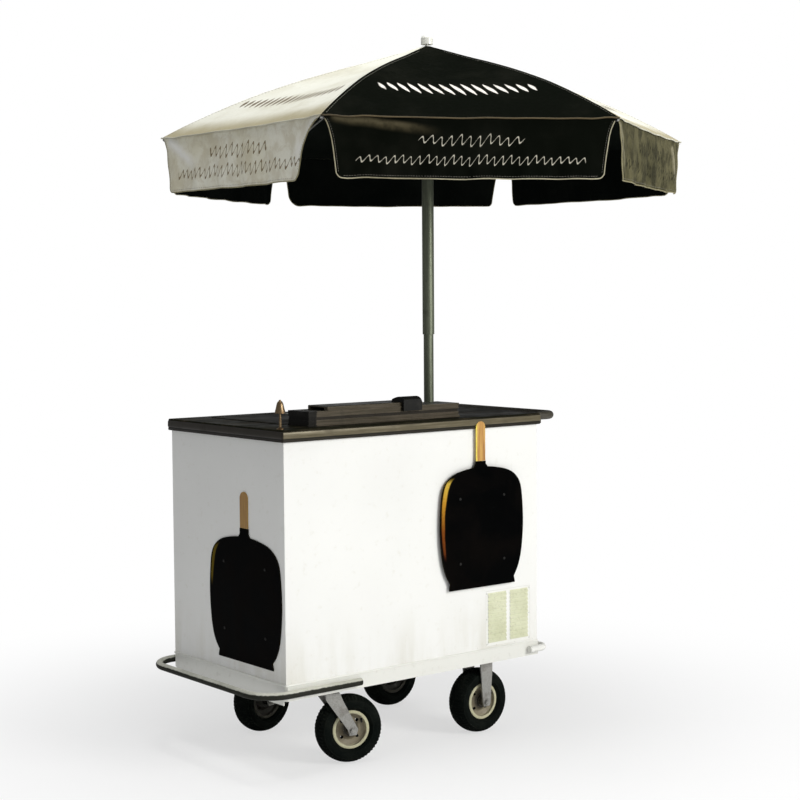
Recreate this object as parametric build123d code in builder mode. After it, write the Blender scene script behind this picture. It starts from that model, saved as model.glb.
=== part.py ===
from build123d import *
from math import cos, pi, radians, sin, sqrt
import os

# Push vending cart: a chest freezer cabinet on a wheeled chassis, with a dry-goods
# box and a freezer lid in its counter, a push handle, bumper tubes, display signs
# and a six-panel folding umbrella.  Millimetres.  +Z up, ground at Z = 0.
# X runs along the cart from the swivel-caster end (-X) to the push-handle end (+X),
# and the customers stand on the -Y side, called the front.  The origin is on the
# ground under the centre of the overall box.

os.makedirs("parts", exist_ok=True)

# ---------------------------------------------------------------- driving sizes
CAB_X0, CAB_X1 = -709.0, 268.0      # cabinet ends
CAB_Y = 301.0                       # half depth of the cabinet
CHASSIS_Z0, CHASSIS_Z1 = 234.0, 278.0   # chassis frame, bottom and deck top
CAB_Z1 = 972.0                      # cabinet top, under the counter
TOP_Z = 1007.0                      # counter working height
TOP_OVERHANG = 8.0
CHASSIS_PROUD = 2.0                 # chassis stands proud of the skin
SKIN = 2.0                          # sheet thickness of the outer skin

CHASSIS_X0, CHASSIS_X1 = CAB_X0 - CHASSIS_PROUD, CAB_X1 + CHASSIS_PROUD
CHASSIS_Y = CAB_Y + CHASSIS_PROUD
COUNTER_X0, COUNTER_X1 = CAB_X0 - TOP_OVERHANG, CAB_X1 + TOP_OVERHANG
COUNTER_Y = CAB_Y + TOP_OVERHANG

WELL_X0, WELL_X1 = -600.0, -18.0    # freezer opening in the counter
WELL_Y0, WELL_Y1 = -130.0, 248.0
WELL_Z0 = 345.0                     # floor of the freezer liner

BOX_X0, BOX_X1 = -584.0, -19.0      # dry-goods box on the counter
BOX_Y0, BOX_Y1 = -249.0, -151.0
BOX_Z1 = 1050.0
TRAY_X0, TRAY_X1 = -576.0, -27.0    # its tray, let into the counter
TRAY_Y0, TRAY_Y1 = -241.0, -159.0
TRAY_Z0 = 880.0

POLE_X, POLE_Y = 74.0, 0.0          # umbrella pole
POLE_R, SLEEVE_R = 16.0, 19.0       # lower pole, upper pole
POLE_RUN = 0.05                     # running clearance, radial
POLE_Z0 = 290.0                     # foot of the lower pole
SLEEVE_Z0 = 1256.0                  # lower end of the upper pole
SOCKET_R = 19.5                     # outside of the pole socket

CANOPY_R = 845.0                    # canopy corner radius (six corners)
# Canopy along a corner: distance from the pole axis, height
CANOPY_PROFILE = [
    (14.0, 2174.0), (110.0, 2146.0), (200.0, 2120.0), (300.0, 2093.0),
    (392.0, 2066.0), (475.0, 2039.0), (557.0, 2010.0), (630.0, 1980.0),
    (700.0, 1949.0), (775.0, 1914.0), (CANOPY_R, 1877.0),
]
HEM_Z = CANOPY_PROFILE[-1][1]
CORNER_TURNS = [-90 + 60 * k for k in range(6)]     # corner directions, degrees

WHEEL_R = 101.5                     # 8 inch pneumatic wheel
TYRE_HALF = 36.0
AXLE_R = 6.0
TRAIL = 62.0
SWIVEL_X, SWIVEL_Y = -500.0, 216.0
RIGID_X, RIGID_Y = 80.0, 225.0
TURN_FRONT, TURN_REAR = -17.0, 8.0  # rest heading of the two swivel casters, degrees
FORK_IN, FORK_T = 40.0, 5.0         # inner half gap and thickness of the fork cheeks
BOLT_PITCH_X, BOLT_PITCH_Y = 84.0, 64.0     # caster plate bolts
BOLT_HOLE_R = 4.5
CASTER_SPOTS = [(SWIVEL_X, -SWIVEL_Y), (SWIVEL_X, SWIVEL_Y),
                (RIGID_X, -RIGID_Y), (RIGID_X, RIGID_Y)]


# ---------------------------------------------------------------- helpers
def write(piece, name):
    """Labels a finished piece and writes its STEP file."""
    piece.part.label = name
    export_step(piece.part, "parts/" + name + ".step")


def block(x0, x1, y0, y1, z0, z1, mode=Mode.ADD):
    """A box between two corners, inside the open part."""
    with Locations(((x0 + x1) / 2, (y0 + y1) / 2, (z0 + z1) / 2)):
        Box(x1 - x0, y1 - y0, z1 - z0, mode=mode)


def disc(x, y, radius, z0, z1, mode=Mode.ADD):
    """An upright cylinder inside the open part."""
    with Locations((x, y, (z0 + z1) / 2)):
        Cylinder(radius, z1 - z0, mode=mode)


def rod(plane, x, y, radius, length, both=False, mode=Mode.ADD):
    """A cylinder from a point on a plane along its normal, or to both sides of it."""
    with BuildSketch(plane) as end:
        with Locations((x, y)):
            Circle(radius)
    extrude(end.sketch, amount=length, both=both, mode=mode)


def turning_plane(x, y):
    """Upright plane for a turned outline: x is the radius, y the height."""
    return Plane(origin=(x, y, 0), x_dir=(1, 0, 0), z_dir=(0, -1, 0))


def upright_axis(x, y):
    return Axis((x, y, 0), (0, 0, 1))


def u_path(x_end, x_mid, half_y, z, bend):
    """Draws a level U in the open line: two legs from x_end, joined by a bar at x_mid."""
    s = 1.0 if x_end > x_mid else -1.0
    leg_x = x_mid + s * bend
    arc_x = leg_x - s * bend * sin(pi / 4)
    arc_in = bend * (1 - cos(pi / 4))
    Line((x_end, -half_y, z), (leg_x, -half_y, z))
    ThreePointArc((leg_x, -half_y, z), (arc_x, -half_y + arc_in, z), (x_mid, -half_y + bend, z))
    Line((x_mid, -half_y + bend, z), (x_mid, half_y - bend, z))
    ThreePointArc((x_mid, half_y - bend, z), (arc_x, half_y - arc_in, z), (leg_x, half_y, z))
    Line((leg_x, half_y, z), (x_end, half_y, z))


# ---------------------------------------------------------------- chassis
RAIL = 36.0                         # width of the perimeter rails
RAIL_WALL = DECK_T = 3.0
WEB_T = 4.0                         # thickness of the cross members
CROSS_HALF = 62.0                   # half width of a caster cross member
MIDDLE_X = -202.0
rail_y = CHASSIS_Y - RAIL_WALL
deck_z = CHASSIS_Z1 - DECK_T
web_z = CHASSIS_Z0 + WEB_T

with BuildPart() as chassis_frame:
    block(CHASSIS_X0, CHASSIS_X1, -CHASSIS_Y, CHASSIS_Y, CHASSIS_Z0, CHASSIS_Z1)
    # open the underside between the perimeter rails, leaving the deck
    block(CHASSIS_X0 + RAIL, CHASSIS_X1 - RAIL, -CHASSIS_Y + RAIL, CHASSIS_Y - RAIL,
          CHASSIS_Z0, deck_z, mode=Mode.SUBTRACT)
    # hollow the long rails, open below as channels
    for y0 in (-rail_y, CHASSIS_Y - RAIL + RAIL_WALL):
        block(CHASSIS_X0 + RAIL, CHASSIS_X1 - RAIL, y0, y0 + RAIL - 2 * RAIL_WALL,
              CHASSIS_Z0, deck_z, mode=Mode.SUBTRACT)
    # box cross members over the casters, and a narrow T in the middle
    for x in (SWIVEL_X, RIGID_X):
        block(x - CROSS_HALF, x + CROSS_HALF, -rail_y, rail_y, CHASSIS_Z0, web_z)
        for x0 in (x - CROSS_HALF, x + CROSS_HALF - WEB_T):
            block(x0, x0 + WEB_T, -rail_y, rail_y, web_z, deck_z)
    block(MIDDLE_X - 20, MIDDLE_X + 20, -rail_y, rail_y, CHASSIS_Z0, web_z)
    block(MIDDLE_X - WEB_T / 2, MIDDLE_X + WEB_T / 2, -rail_y, rail_y, web_z, deck_z)
    for spot in CASTER_SPOTS:
        with BuildSketch(Plane.XY.offset(CHASSIS_Z0 - 1)):
            with Locations(spot):
                with GridLocations(BOLT_PITCH_X, BOLT_PITCH_Y, 2, 2):
                    Circle(BOLT_HOLE_R)
        extrude(amount=WEB_T + 2, mode=Mode.SUBTRACT)
    # clipped corners at the -X end, clear of the long bumper's bent tube
    chamfer(chassis_frame.edges().filter_by(Axis.Z).group_by(Axis.X)[0], length=6)
    # lip hanging below the rail behind the long bumper
    block(CHASSIS_X0, CHASSIS_X0 + 3, -CHASSIS_Y + 12, CHASSIS_Y - 12,
          CHASSIS_Z0 - 13, CHASSIS_Z0)
write(chassis_frame, "chassis_frame")

# ---------------------------------------------------------------- cabinet skin
FRONT_OPENING = (50.0, 236.0, 286.0, 460.0)     # x0, x1, z0, z1
REAR_OPENING = (40.0, 244.0, 320.0, 690.0)


def near(value, target):
    return abs(value - target) < 0.01


with BuildPart() as outer_skin:
    block(CAB_X0, CAB_X1, -CAB_Y, CAB_Y, CHASSIS_Z1, CAB_Z1)
    block(CAB_X0 + SKIN, CAB_X1 - SKIN, -CAB_Y + SKIN, CAB_Y - SKIN, CHASSIS_Z1, CAB_Z1,
          mode=Mode.SUBTRACT)
    for side, (x0, x1, z0, z1) in ((-1, FRONT_OPENING), (1, REAR_OPENING)):
        y0, y1 = sorted((side * (CAB_Y - SKIN - 1), side * (CAB_Y + 1)))
        block(x0, x1, y0, y1, z0, z1, mode=Mode.SUBTRACT)
    vertical = outer_skin.edges().filter_by(Axis.Z).filter_by(lambda e: e.length > 600)
    outer_corners = vertical.filter_by(
        lambda e: near(abs(e.center().Y), CAB_Y)
        and (near(e.center().X, CAB_X0) or near(e.center().X, CAB_X1)))
    fillet(outer_corners, radius=1.5)
write(outer_skin, "outer_skin")

# Louvre panels, flush in their openings on a backing flange: the front one, and the
# rear service panel behind the compressor.
PANEL_GAP = 0.5
BACKING_T, BACKING_LAP = 1.5, 9.0
# side (sign of Y), opening, backing lap at the foot, columns (x0, x1),
# lowest slit z, pitch, count, slit height,
# hood outline (distance out of the panel, height above the slit's foot)
LOUVRE_PANELS = (
    (-1, FRONT_OPENING, 5.0, ((59.0, 134.0), (151.0, 226.0)),
     297.0, 13.0, 12, 4.6,
     ((0, 9.5), (3.6, 2.2), (3.6, 0.8), (2.6, 0.8), (0, 6.4))),
    (1, REAR_OPENING, 9.0, ((60.0, 134.0), (150.0, 224.0)),
     345.0, 15.0, 10, 5.0,
     ((0, 10.5), (3.6, 2.4), (3.6, 1.0), (2.6, 1.0), (0, 7.0))),
)
with BuildPart() as louvre_panels:
    for side, opening, foot_lap, columns, first_z, pitch, count, slit_h, hood in LOUVRE_PANELS:
        open_x0, open_x1, open_z0, open_z1 = opening
        y_out, y_in = side * CAB_Y, side * (CAB_Y - SKIN)
        block(open_x0 + PANEL_GAP, open_x1 - PANEL_GAP, *sorted((y_out, y_in)),
              open_z0 + PANEL_GAP, open_z1 - PANEL_GAP)
        block(open_x0 - BACKING_LAP, open_x1 + BACKING_LAP,
              *sorted((y_in, y_in - side * BACKING_T)),
              open_z0 - foot_lap, open_z1 + BACKING_LAP)
        for x0, x1 in columns:
            for i in range(count):
                z = first_z + pitch * i
                block(x0, x1, *sorted((y_out + side, y_in - 2 * side)), z, z + slit_h,
                      mode=Mode.SUBTRACT)
                # pressed hood over each slit, leaning out
                with BuildSketch(Plane.YZ.offset(x0 - 1)):
                    with BuildLine():
                        Polyline(*((y_out + side * out, z + up) for out, up in hood),
                                 close=True)
                    make_face()
                extrude(amount=x1 - x0 + 2)
    # quarter-turn studs on the service panel, inset from the opening's corners
    for z in (REAR_OPENING[2] + 12, REAR_OPENING[3] - 12):
        for x in (REAR_OPENING[0] + 12, REAR_OPENING[1] - 12):
            rod(Plane.XZ.offset(-CAB_Y), x, z, 6, -2.0)
write(louvre_panels, "louvre_panels")

# ---------------------------------------------------------------- cold box
FOAM_X1 = 22.0
FOAM_GAP = 0.5
TRAY_GAP = 1.0
LINER_T = 1.5
TUBE_Y = WELL_Y1 + 9.0              # cooling tube, behind the liner
TUBE_ROWS = [400.0 + 100.0 * i for i in range(6)]
TUBE_END_X = 46.0

with BuildPart() as foam_insulation:
    foam_y = CAB_Y - SKIN - FOAM_GAP
    block(CAB_X0 + SKIN + FOAM_GAP, FOAM_X1, -foam_y, foam_y, CHASSIS_Z1 + 2, CAB_Z1 - 1)
    block(WELL_X0 - FOAM_GAP, WELL_X1 + FOAM_GAP, WELL_Y0 - FOAM_GAP, WELL_Y1 + FOAM_GAP,
          WELL_Z0 - 2, CAB_Z1, mode=Mode.SUBTRACT)
    block(TRAY_X0 - TRAY_GAP, TRAY_X1 + TRAY_GAP, TRAY_Y0 - TRAY_GAP, TRAY_Y1 + TRAY_GAP,
          TRAY_Z0 - TRAY_GAP, CAB_Z1, mode=Mode.SUBTRACT)
    # slot for the cooling tube, and holes for its two ends
    block(WELL_X0, WELL_X1, WELL_Y1 - 0.5, WELL_Y1 + 17.0, 380, 930, mode=Mode.SUBTRACT)
    for z in (TUBE_ROWS[0], TUBE_ROWS[-1]):
        rod(Plane.YZ.offset(WELL_X1 - 2), TUBE_Y, z, 6.5, 60, mode=Mode.SUBTRACT)
write(foam_insulation, "foam_insulation")

with BuildPart() as freezer_liner:
    block(WELL_X0, WELL_X1, WELL_Y0, WELL_Y1, WELL_Z0, CAB_Z1)
    block(WELL_X0 + LINER_T, WELL_X1 - LINER_T, WELL_Y0 + LINER_T, WELL_Y1 - LINER_T,
          WELL_Z0 + LINER_T, CAB_Z1 + 1, mode=Mode.SUBTRACT)
write(freezer_liner, "freezer_liner")

# Serpentine of six level rows joined by half-circle bends
with BuildPart() as evaporator_tube:
    with BuildLine():
        right_x, left_x, bend = WELL_X1 - 60.0, WELL_X0 + 70.0, 50.0
        Line((TUBE_END_X, TUBE_Y, TUBE_ROWS[0]), (left_x, TUBE_Y, TUBE_ROWS[0]))
        for i in range(5):
            bend_x, next_x, bow = (right_x, left_x, bend) if i % 2 else (left_x, right_x, -bend)
            z, next_z = TUBE_ROWS[i], TUBE_ROWS[i + 1]
            ThreePointArc((bend_x, TUBE_Y, z), (bend_x + bow, TUBE_Y, z + bend),
                          (bend_x, TUBE_Y, next_z))
            end_x = TUBE_END_X if i == 4 else next_x
            Line((bend_x, TUBE_Y, next_z), (end_x, TUBE_Y, next_z))
    with BuildSketch(Plane(origin=(TUBE_END_X, TUBE_Y, TUBE_ROWS[0]), z_dir=(-1, 0, 0))):
        Circle(4.75)
    sweep()
write(evaporator_tube, "evaporator_tube")

# ---------------------------------------------------------------- compressor bay
COMP_X, COMP_Y = 158.0, 170.0
with BuildPart() as compressor:
    # turned shell with a seam flange
    with BuildSketch(turning_plane(COMP_X, COMP_Y)):
        with BuildLine():
            Polyline((0, 300), (62, 300), (72, 312), (74, 372))
            Polyline((74, 372), (78, 374), (78, 382), (73, 384))
            Spline((73, 384), (66, 430), (38, 456), (0, 462), tangents=((0, 1), (-1, 0)))
            Line((0, 462), (0, 300))
        make_face()
    revolve(axis=upright_axis(COMP_X, COMP_Y))
    # base plate on four feet
    block(COMP_X - 95, COMP_X + 95, COMP_Y - 50, COMP_Y + 50, 290, 300)
    for foot_x in (-80, 80):
        for foot_y in (-38, 38):
            disc(COMP_X + foot_x, COMP_Y + foot_y, 12, CHASSIS_Z1, 291)
    # box on the front of the shell
    block(COMP_X - 30, COMP_X + 30, COMP_Y - 92, COMP_Y - 60, 340, 400)
write(compressor, "compressor")

COND_X0, COND_X1 = 60.0, 226.0
COND_Y0, COND_Y1 = -278.0, -236.0
COND_Z0, COND_Z1 = 292.0, 458.0
FIN_T, FIN_N = 1.0, 20
FAN_X, FAN_Z = (COND_X0 + COND_X1) / 2, (COND_Z0 + COND_Z1) / 2
FAN_OPENING_R = 74.0
MOTOR_R, SHAFT_R = 26.0, 4.0
SHAFT_HOLE_R = SHAFT_R + 0.05
fan_plane = Plane(origin=(FAN_X, 0, FAN_Z), x_dir=(1, 0, 0), z_dir=(0, 1, 0))
with BuildPart() as condenser:
    for i in range(FIN_N):
        x = COND_X0 + 6 + i * (COND_X1 - COND_X0 - 12) / (FIN_N - 1)
        block(x - FIN_T / 2, x + FIN_T / 2, COND_Y0, COND_Y1, COND_Z0, COND_Z1)
    # end plates down to the deck
    for x0 in (COND_X0, COND_X1 - 4):
        block(x0, x0 + 4, COND_Y0 - 2, COND_Y1 + 4, CHASSIS_Z1, COND_Z1 + 2)
    # two columns of tubes through the fins
    for j in range(5):
        for y in (COND_Y0 + 11, COND_Y1 - 11):
            rod(Plane.YZ.offset(COND_X0), y, COND_Z0 + 20 + 31.0 * j, 4.5, COND_X1 - COND_X0)
    # fan plate and its round duct, and the motor on three arms
    with BuildSketch(fan_plane.offset(COND_Y1 + 2)):
        Rectangle(COND_X1 - COND_X0, COND_Z1 - COND_Z0)
        Circle(FAN_OPENING_R, mode=Mode.SUBTRACT)
    extrude(amount=2)
    with BuildSketch(fan_plane.offset(COND_Y1 + 4)):
        Circle(FAN_OPENING_R + 3)
        Circle(FAN_OPENING_R, mode=Mode.SUBTRACT)
    extrude(amount=22)
    with BuildSketch(fan_plane.offset(COND_Y1 + 26)):
        Circle(MOTOR_R)
        with PolarLocations(0, 3, start_angle=90):
            with Locations((38, 0)):
                Rectangle(78, 8)
        Circle(SHAFT_HOLE_R, mode=Mode.SUBTRACT)
    extrude(amount=3)
    with BuildSketch(fan_plane.offset(COND_Y1 + 29)):
        Circle(MOTOR_R)
        Circle(SHAFT_HOLE_R, mode=Mode.SUBTRACT)
    extrude(amount=34)
write(condenser, "condenser")

FAN_HUB_Y, FAN_HUB_LEN = COND_Y1 + 8, 14.0
BLADE_N, BLADE_PITCH = 5, radians(24)
with BuildPart() as fan_blade:
    rod(fan_plane.offset(FAN_HUB_Y), 0, 0, 17, FAN_HUB_LEN)
    rod(fan_plane.offset(FAN_HUB_Y), 0, 0, SHAFT_R, 50)
    for k in range(BLADE_N):
        turn = radians(360 / BLADE_N * k)
        blade_plane = Plane(
            origin=(FAN_X, FAN_HUB_Y + FAN_HUB_LEN / 2, FAN_Z), x_dir=(cos(turn), 0, sin(turn)),
            z_dir=(-sin(turn) * sin(BLADE_PITCH), cos(BLADE_PITCH), cos(turn) * sin(BLADE_PITCH)))
        with BuildSketch(blade_plane):
            with BuildLine():
                Polyline((12, -7), (60, -17))
                ThreePointArc((60, -17), (67, 0), (62, 15))
                Polyline((62, 15), (12, 7), (12, -7))
            make_face()
        extrude(amount=0.8, both=True)
write(fan_blade, "fan_blade")

with BuildPart() as umbrella_socket:
    disc(POLE_X, POLE_Y, SOCKET_R, 284, TOP_Z)
    block(POLE_X - 36, POLE_X + 36, POLE_Y - 36, POLE_Y + 36, CHASSIS_Z1, 284)
    # stepped collar on the counter
    disc(POLE_X, POLE_Y, 33, TOP_Z, TOP_Z + 3)
    disc(POLE_X, POLE_Y, 26, TOP_Z + 3, TOP_Z + 9)
    disc(POLE_X, POLE_Y, POLE_R + POLE_RUN, POLE_Z0, TOP_Z + 10, mode=Mode.SUBTRACT)
write(umbrella_socket, "umbrella_socket")

# ---------------------------------------------------------------- counter
REBATE_Z = TOP_Z - 14.0             # rebate for the freezer lid and its seal
LID_Z0, LID_TOP = TOP_Z - 11.0, TOP_Z + 2.0
with BuildPart() as countertop:
    block(COUNTER_X0, COUNTER_X1, -COUNTER_Y, COUNTER_Y, CAB_Z1, TOP_Z)
    fillet(countertop.edges().filter_by(Axis.Z), radius=4)
    fillet(countertop.edges().group_by(Axis.Z)[-1], radius=3)
    # freezer opening and its rebate
    block(WELL_X0 + 8, WELL_X1 - 8, WELL_Y0 + 8, WELL_Y1 - 8, CAB_Z1 - 1, TOP_Z + 1,
          mode=Mode.SUBTRACT)
    block(WELL_X0, WELL_X1, WELL_Y0, WELL_Y1, REBATE_Z, TOP_Z + 1, mode=Mode.SUBTRACT)
    # dry-goods tray opening
    block(TRAY_X0 - TRAY_GAP, TRAY_X1 + TRAY_GAP, TRAY_Y0 - TRAY_GAP, TRAY_Y1 + TRAY_GAP,
          CAB_Z1 - 1, TOP_Z + 1, mode=Mode.SUBTRACT)
    disc(POLE_X, POLE_Y, SOCKET_R + 0.1, CAB_Z1 - 1, TOP_Z + 1, mode=Mode.SUBTRACT)
write(countertop, "countertop")

with BuildPart() as lid_gasket:
    block(WELL_X0 + 1, WELL_X1 - 1, WELL_Y0 + 1, WELL_Y1 - 1, REBATE_Z, LID_Z0)
    block(WELL_X0 + 7, WELL_X1 - 7, WELL_Y0 + 7, WELL_Y1 - 7, REBATE_Z - 1, LID_Z0 + 1,
          mode=Mode.SUBTRACT)
write(lid_gasket, "lid_gasket")

# Lid hinges along the customer-side long edge, behind the dry-goods box.
HINGE_Y, HINGE_Z = -135.0, TOP_Z + 5.0
HINGE_XS = (-470.0, -150.0)
KNUCKLE_R, PIN_R = 4.0, 2.5
OUTER_KNUCKLE_X, OUTER_KNUCKLE_HALF = 25.5, 10.5    # offset from the middle, half length
INNER_KNUCKLE_HALF = 14.0
with BuildPart() as lid_hinges:
    for hinge_x in HINGE_XS:
        block(hinge_x - 36, hinge_x + 36, -150, HINGE_Y - 5, TOP_Z, TOP_Z + 2)
        for side in (-1, 1):
            x0 = hinge_x + side * OUTER_KNUCKLE_X - OUTER_KNUCKLE_HALF
            length = 2 * OUTER_KNUCKLE_HALF
            rod(Plane.YZ.offset(x0), HINGE_Y, HINGE_Z, KNUCKLE_R, length)
            block(x0, x0 + length, HINGE_Y - 6, HINGE_Y, TOP_Z, HINGE_Z)
        rod(Plane.YZ.offset(hinge_x - 38), HINGE_Y, HINGE_Z, PIN_R, 76)
write(lid_hinges, "lid_hinges")

PULL_X0, PULL_X1 = -354.0, -264.0
PULL_Y0, PULL_Y1 = 176.0, 216.0
PULL_Z0 = LID_TOP - 11.0
PULL_WALL = 4.0
with BuildPart() as freezer_lid:
    block(WELL_X0 + 1, WELL_X1 - 1, WELL_Y0 + 1, WELL_Y1 - 1, LID_Z0, LID_TOP)
    fillet(freezer_lid.edges().filter_by(Axis.Z), radius=5)
    fillet(freezer_lid.edges().group_by(Axis.Z)[-1], radius=1.2)
    # insulated plug under the lid
    block(WELL_X0 + 12, WELL_X1 - 12, WELL_Y0 + 12, WELL_Y1 - 14, 958, LID_Z0)
    # recess for the flush pull
    block(PULL_X0, PULL_X1, PULL_Y0, PULL_Y1, PULL_Z0, LID_TOP + 1, mode=Mode.SUBTRACT)
    # hinge leaves with the inner knuckles, bored for the pin
    for hinge_x in HINGE_XS:
        x0 = hinge_x - INNER_KNUCKLE_HALF
        length = 2 * INNER_KNUCKLE_HALF
        block(x0, x0 + length, HINGE_Y + 2, -104, LID_TOP, LID_TOP + 2)
        rod(Plane.YZ.offset(x0), HINGE_Y, HINGE_Z, KNUCKLE_R, length)
        rod(Plane.YZ.offset(x0 - 1), HINGE_Y, HINGE_Z, PIN_R + 0.05, length + 2,
            mode=Mode.SUBTRACT)
write(freezer_lid, "freezer_lid")

with BuildPart() as lid_pull:
    in_x0, in_x1 = PULL_X0 + PULL_WALL, PULL_X1 - PULL_WALL
    in_y0, in_y1 = PULL_Y0 + PULL_WALL, PULL_Y1 - PULL_WALL
    block(PULL_X0 + 0.5, PULL_X1 - 0.5, PULL_Y0 + 0.5, PULL_Y1 - 0.5, PULL_Z0, LID_TOP + 1)
    block(in_x0, in_x1, in_y0, in_y1, PULL_Z0 + 1.5, LID_TOP + 2, mode=Mode.SUBTRACT)
    # finger ledge over the rear of the cup
    block(in_x0, in_x1, in_y1 - 13, in_y1, LID_TOP - 1.5, LID_TOP + 1)
write(lid_pull, "lid_pull")

# ---------------------------------------------------------------- dry-goods box
UPPER_X0, UPPER_X1 = -518.0, -158.0     # upper lid
LOWER_X0, LOWER_X1 = -578.0, -294.0     # lower lid
LEDGE = 5.0                             # recess from the box's outline, for the lower lid
LEDGE_Z = BOX_Z1 - 4.0
with BuildPart() as supply_box:
    block(BOX_X0, BOX_X1, BOX_Y0, BOX_Y1, TOP_Z, BOX_Z1)
    # flange on the counter, moulding bands: margin at the ends, front and rear, z0, z1
    for end, front, rear, z0, z1 in (
        (5, 6, 0.5, TOP_Z, TOP_Z + 4),
        (2, 3, 0.5, TOP_Z + 4, TOP_Z + 17),
        (2, 3, 0.5, BOX_Z1 - 17, BOX_Z1 - 5),
        (3, 4.5, 1, BOX_Z1 - 5, BOX_Z1),
    ):
        block(BOX_X0 - end, BOX_X1 + end, BOX_Y0 - front, BOX_Y1 + rear, z0, z1)
    # tray let into the counter
    block(TRAY_X0, TRAY_X1, TRAY_Y0, TRAY_Y1, TRAY_Z0, TOP_Z)
    block(TRAY_X0 + 2, TRAY_X1 - 2, TRAY_Y0 + 2, TRAY_Y1 - 2, TRAY_Z0 + 2, LEDGE_Z,
          mode=Mode.SUBTRACT)
    # open top with a ledge all round, and a fixed platform at the pole end
    block(BOX_X0 + LEDGE, BOX_X1 - LEDGE, BOX_Y0 + LEDGE, BOX_Y1 - LEDGE, LEDGE_Z, BOX_Z1 + 1,
          mode=Mode.SUBTRACT)
    block(UPPER_X1, BOX_X1 - LEDGE, BOX_Y0 + LEDGE, BOX_Y1 - LEDGE, LEDGE_Z, BOX_Z1)
write(supply_box, "supply_box")

with BuildPart() as box_lid_lower:
    block(LOWER_X0, LOWER_X1, BOX_Y0 + LEDGE + 1, BOX_Y1 - LEDGE - 1, LEDGE_Z, BOX_Z1 - 0.4)
    # finger slot near its -X end
    with BuildSketch(Plane.XY.offset(LEDGE_Z - 1)):
        with Locations((LOWER_X0 + 18, (BOX_Y0 + BOX_Y1) / 2)):
            SlotOverall(42, 14, rotation=90)
    extrude(amount=6, mode=Mode.SUBTRACT)
write(box_lid_lower, "box_lid_lower")

with BuildPart() as box_lid_upper:
    block(UPPER_X0, UPPER_X1, BOX_Y0 - 2, BOX_Y1 - 1, BOX_Z1 + 0.2, BOX_Z1 + 12)
    fillet(box_lid_upper.edges().filter_by(Axis.Z), radius=4)
    fillet(box_lid_upper.edges().group_by(Axis.Z)[-1], radius=3)
    # hollow below, a shallow channel over the lower lid
    block(UPPER_X0 - 1, UPPER_X1 - 4, BOX_Y0 + 14, BOX_Y1 - 14, BOX_Z1, BOX_Z1 + 8.5,
          mode=Mode.SUBTRACT)
write(box_lid_upper, "box_lid_upper")

# Grip block at the upper lid's +X end, hooked over the front edge.
GRIP_X0, GRIP_X1 = -243.0, -172.0
with BuildPart() as lid_grip:
    with BuildSketch(Plane.YZ.offset(GRIP_X0)):
        with BuildLine():
            Polyline((BOX_Y0 - 6, BOX_Z1 - 14), (BOX_Y0 - 14, BOX_Z1 - 14),
                     (BOX_Y0 - 15, BOX_Z1 + 20))
            Spline((BOX_Y0 - 15, BOX_Z1 + 20), (BOX_Y0 - 9, BOX_Z1 + 25),
                   (BOX_Y0 + 22, BOX_Z1 + 26), (BOX_Y0 + 42, BOX_Z1 + 20))
            Polyline((BOX_Y0 + 42, BOX_Z1 + 20), (BOX_Y0 + 46, BOX_Z1 + 12),
                     (BOX_Y0 - 6, BOX_Z1 + 12), (BOX_Y0 - 6, BOX_Z1 - 14))
        make_face()
    extrude(amount=GRIP_X1 - GRIP_X0)
    fillet(lid_grip.edges().filter_by(
        lambda e: near(e.center().X, GRIP_X1) and e.center().Z > BOX_Z1 + 21), radius=7)
write(lid_grip, "lid_grip")

# ---------------------------------------------------------------- service bell
BELL_X, BELL_Y = -701.0, -275.0
with BuildPart() as service_bell:
    with BuildSketch(turning_plane(BELL_X, BELL_Y)):
        with BuildLine():
            Polyline((0, 1007), (11, 1007), (11, 1010), (4, 1013), (3, 1052), (15.5, 1053),
                     (14.5, 1058))
            Spline((14.5, 1058), (11.5, 1070), (8.5, 1082), (4.0, 1087),
                   tangents=((-0.2, 1), (-1, 0.15)))
            Polyline((4.0, 1087), (3.2, 1090), (0, 1091.5), (0, 1007))
        make_face()
    revolve(axis=upright_axis(BELL_X, BELL_Y))
write(service_bell, "service_bell")

# ---------------------------------------------------------------- push handle
HANDLE_R, HANDLE_BEND = 13.0, 42.0
HANDLE_X, HANDLE_Y, HANDLE_Z = 362.0, 287.0, 996.0
HANDLE_X0 = COUNTER_X1 + 5          # tube ends, inside the mounting pads
with BuildPart() as push_handle:
    with BuildLine():
        u_path(HANDLE_X0, HANDLE_X, HANDLE_Y, HANDLE_Z, HANDLE_BEND)
    with BuildSketch(Plane(origin=(HANDLE_X0, -HANDLE_Y, HANDLE_Z), z_dir=(1, 0, 0))):
        Circle(HANDLE_R)
    sweep()
    for y in (-HANDLE_Y, HANDLE_Y):
        block(COUNTER_X1, COUNTER_X1 + 6, y - 19, y + 19, CAB_Z1 + 2, TOP_Z)
write(push_handle, "push_handle")

# ---------------------------------------------------------------- bumpers
BUMPER_R = 11.0
BUMPER_Z = 256.0
BUMPER_Y = CHASSIS_Y + 0.6 + BUMPER_R
# the long bumper reaches as far to -X as the canopy does to +X, centring the overall box
LONG_BUMPER_X = -(POLE_X + CANOPY_R * cos(radians(30))) + BUMPER_R
SHORT_BUMPER_X = CHASSIS_X1 + 24.0
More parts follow.
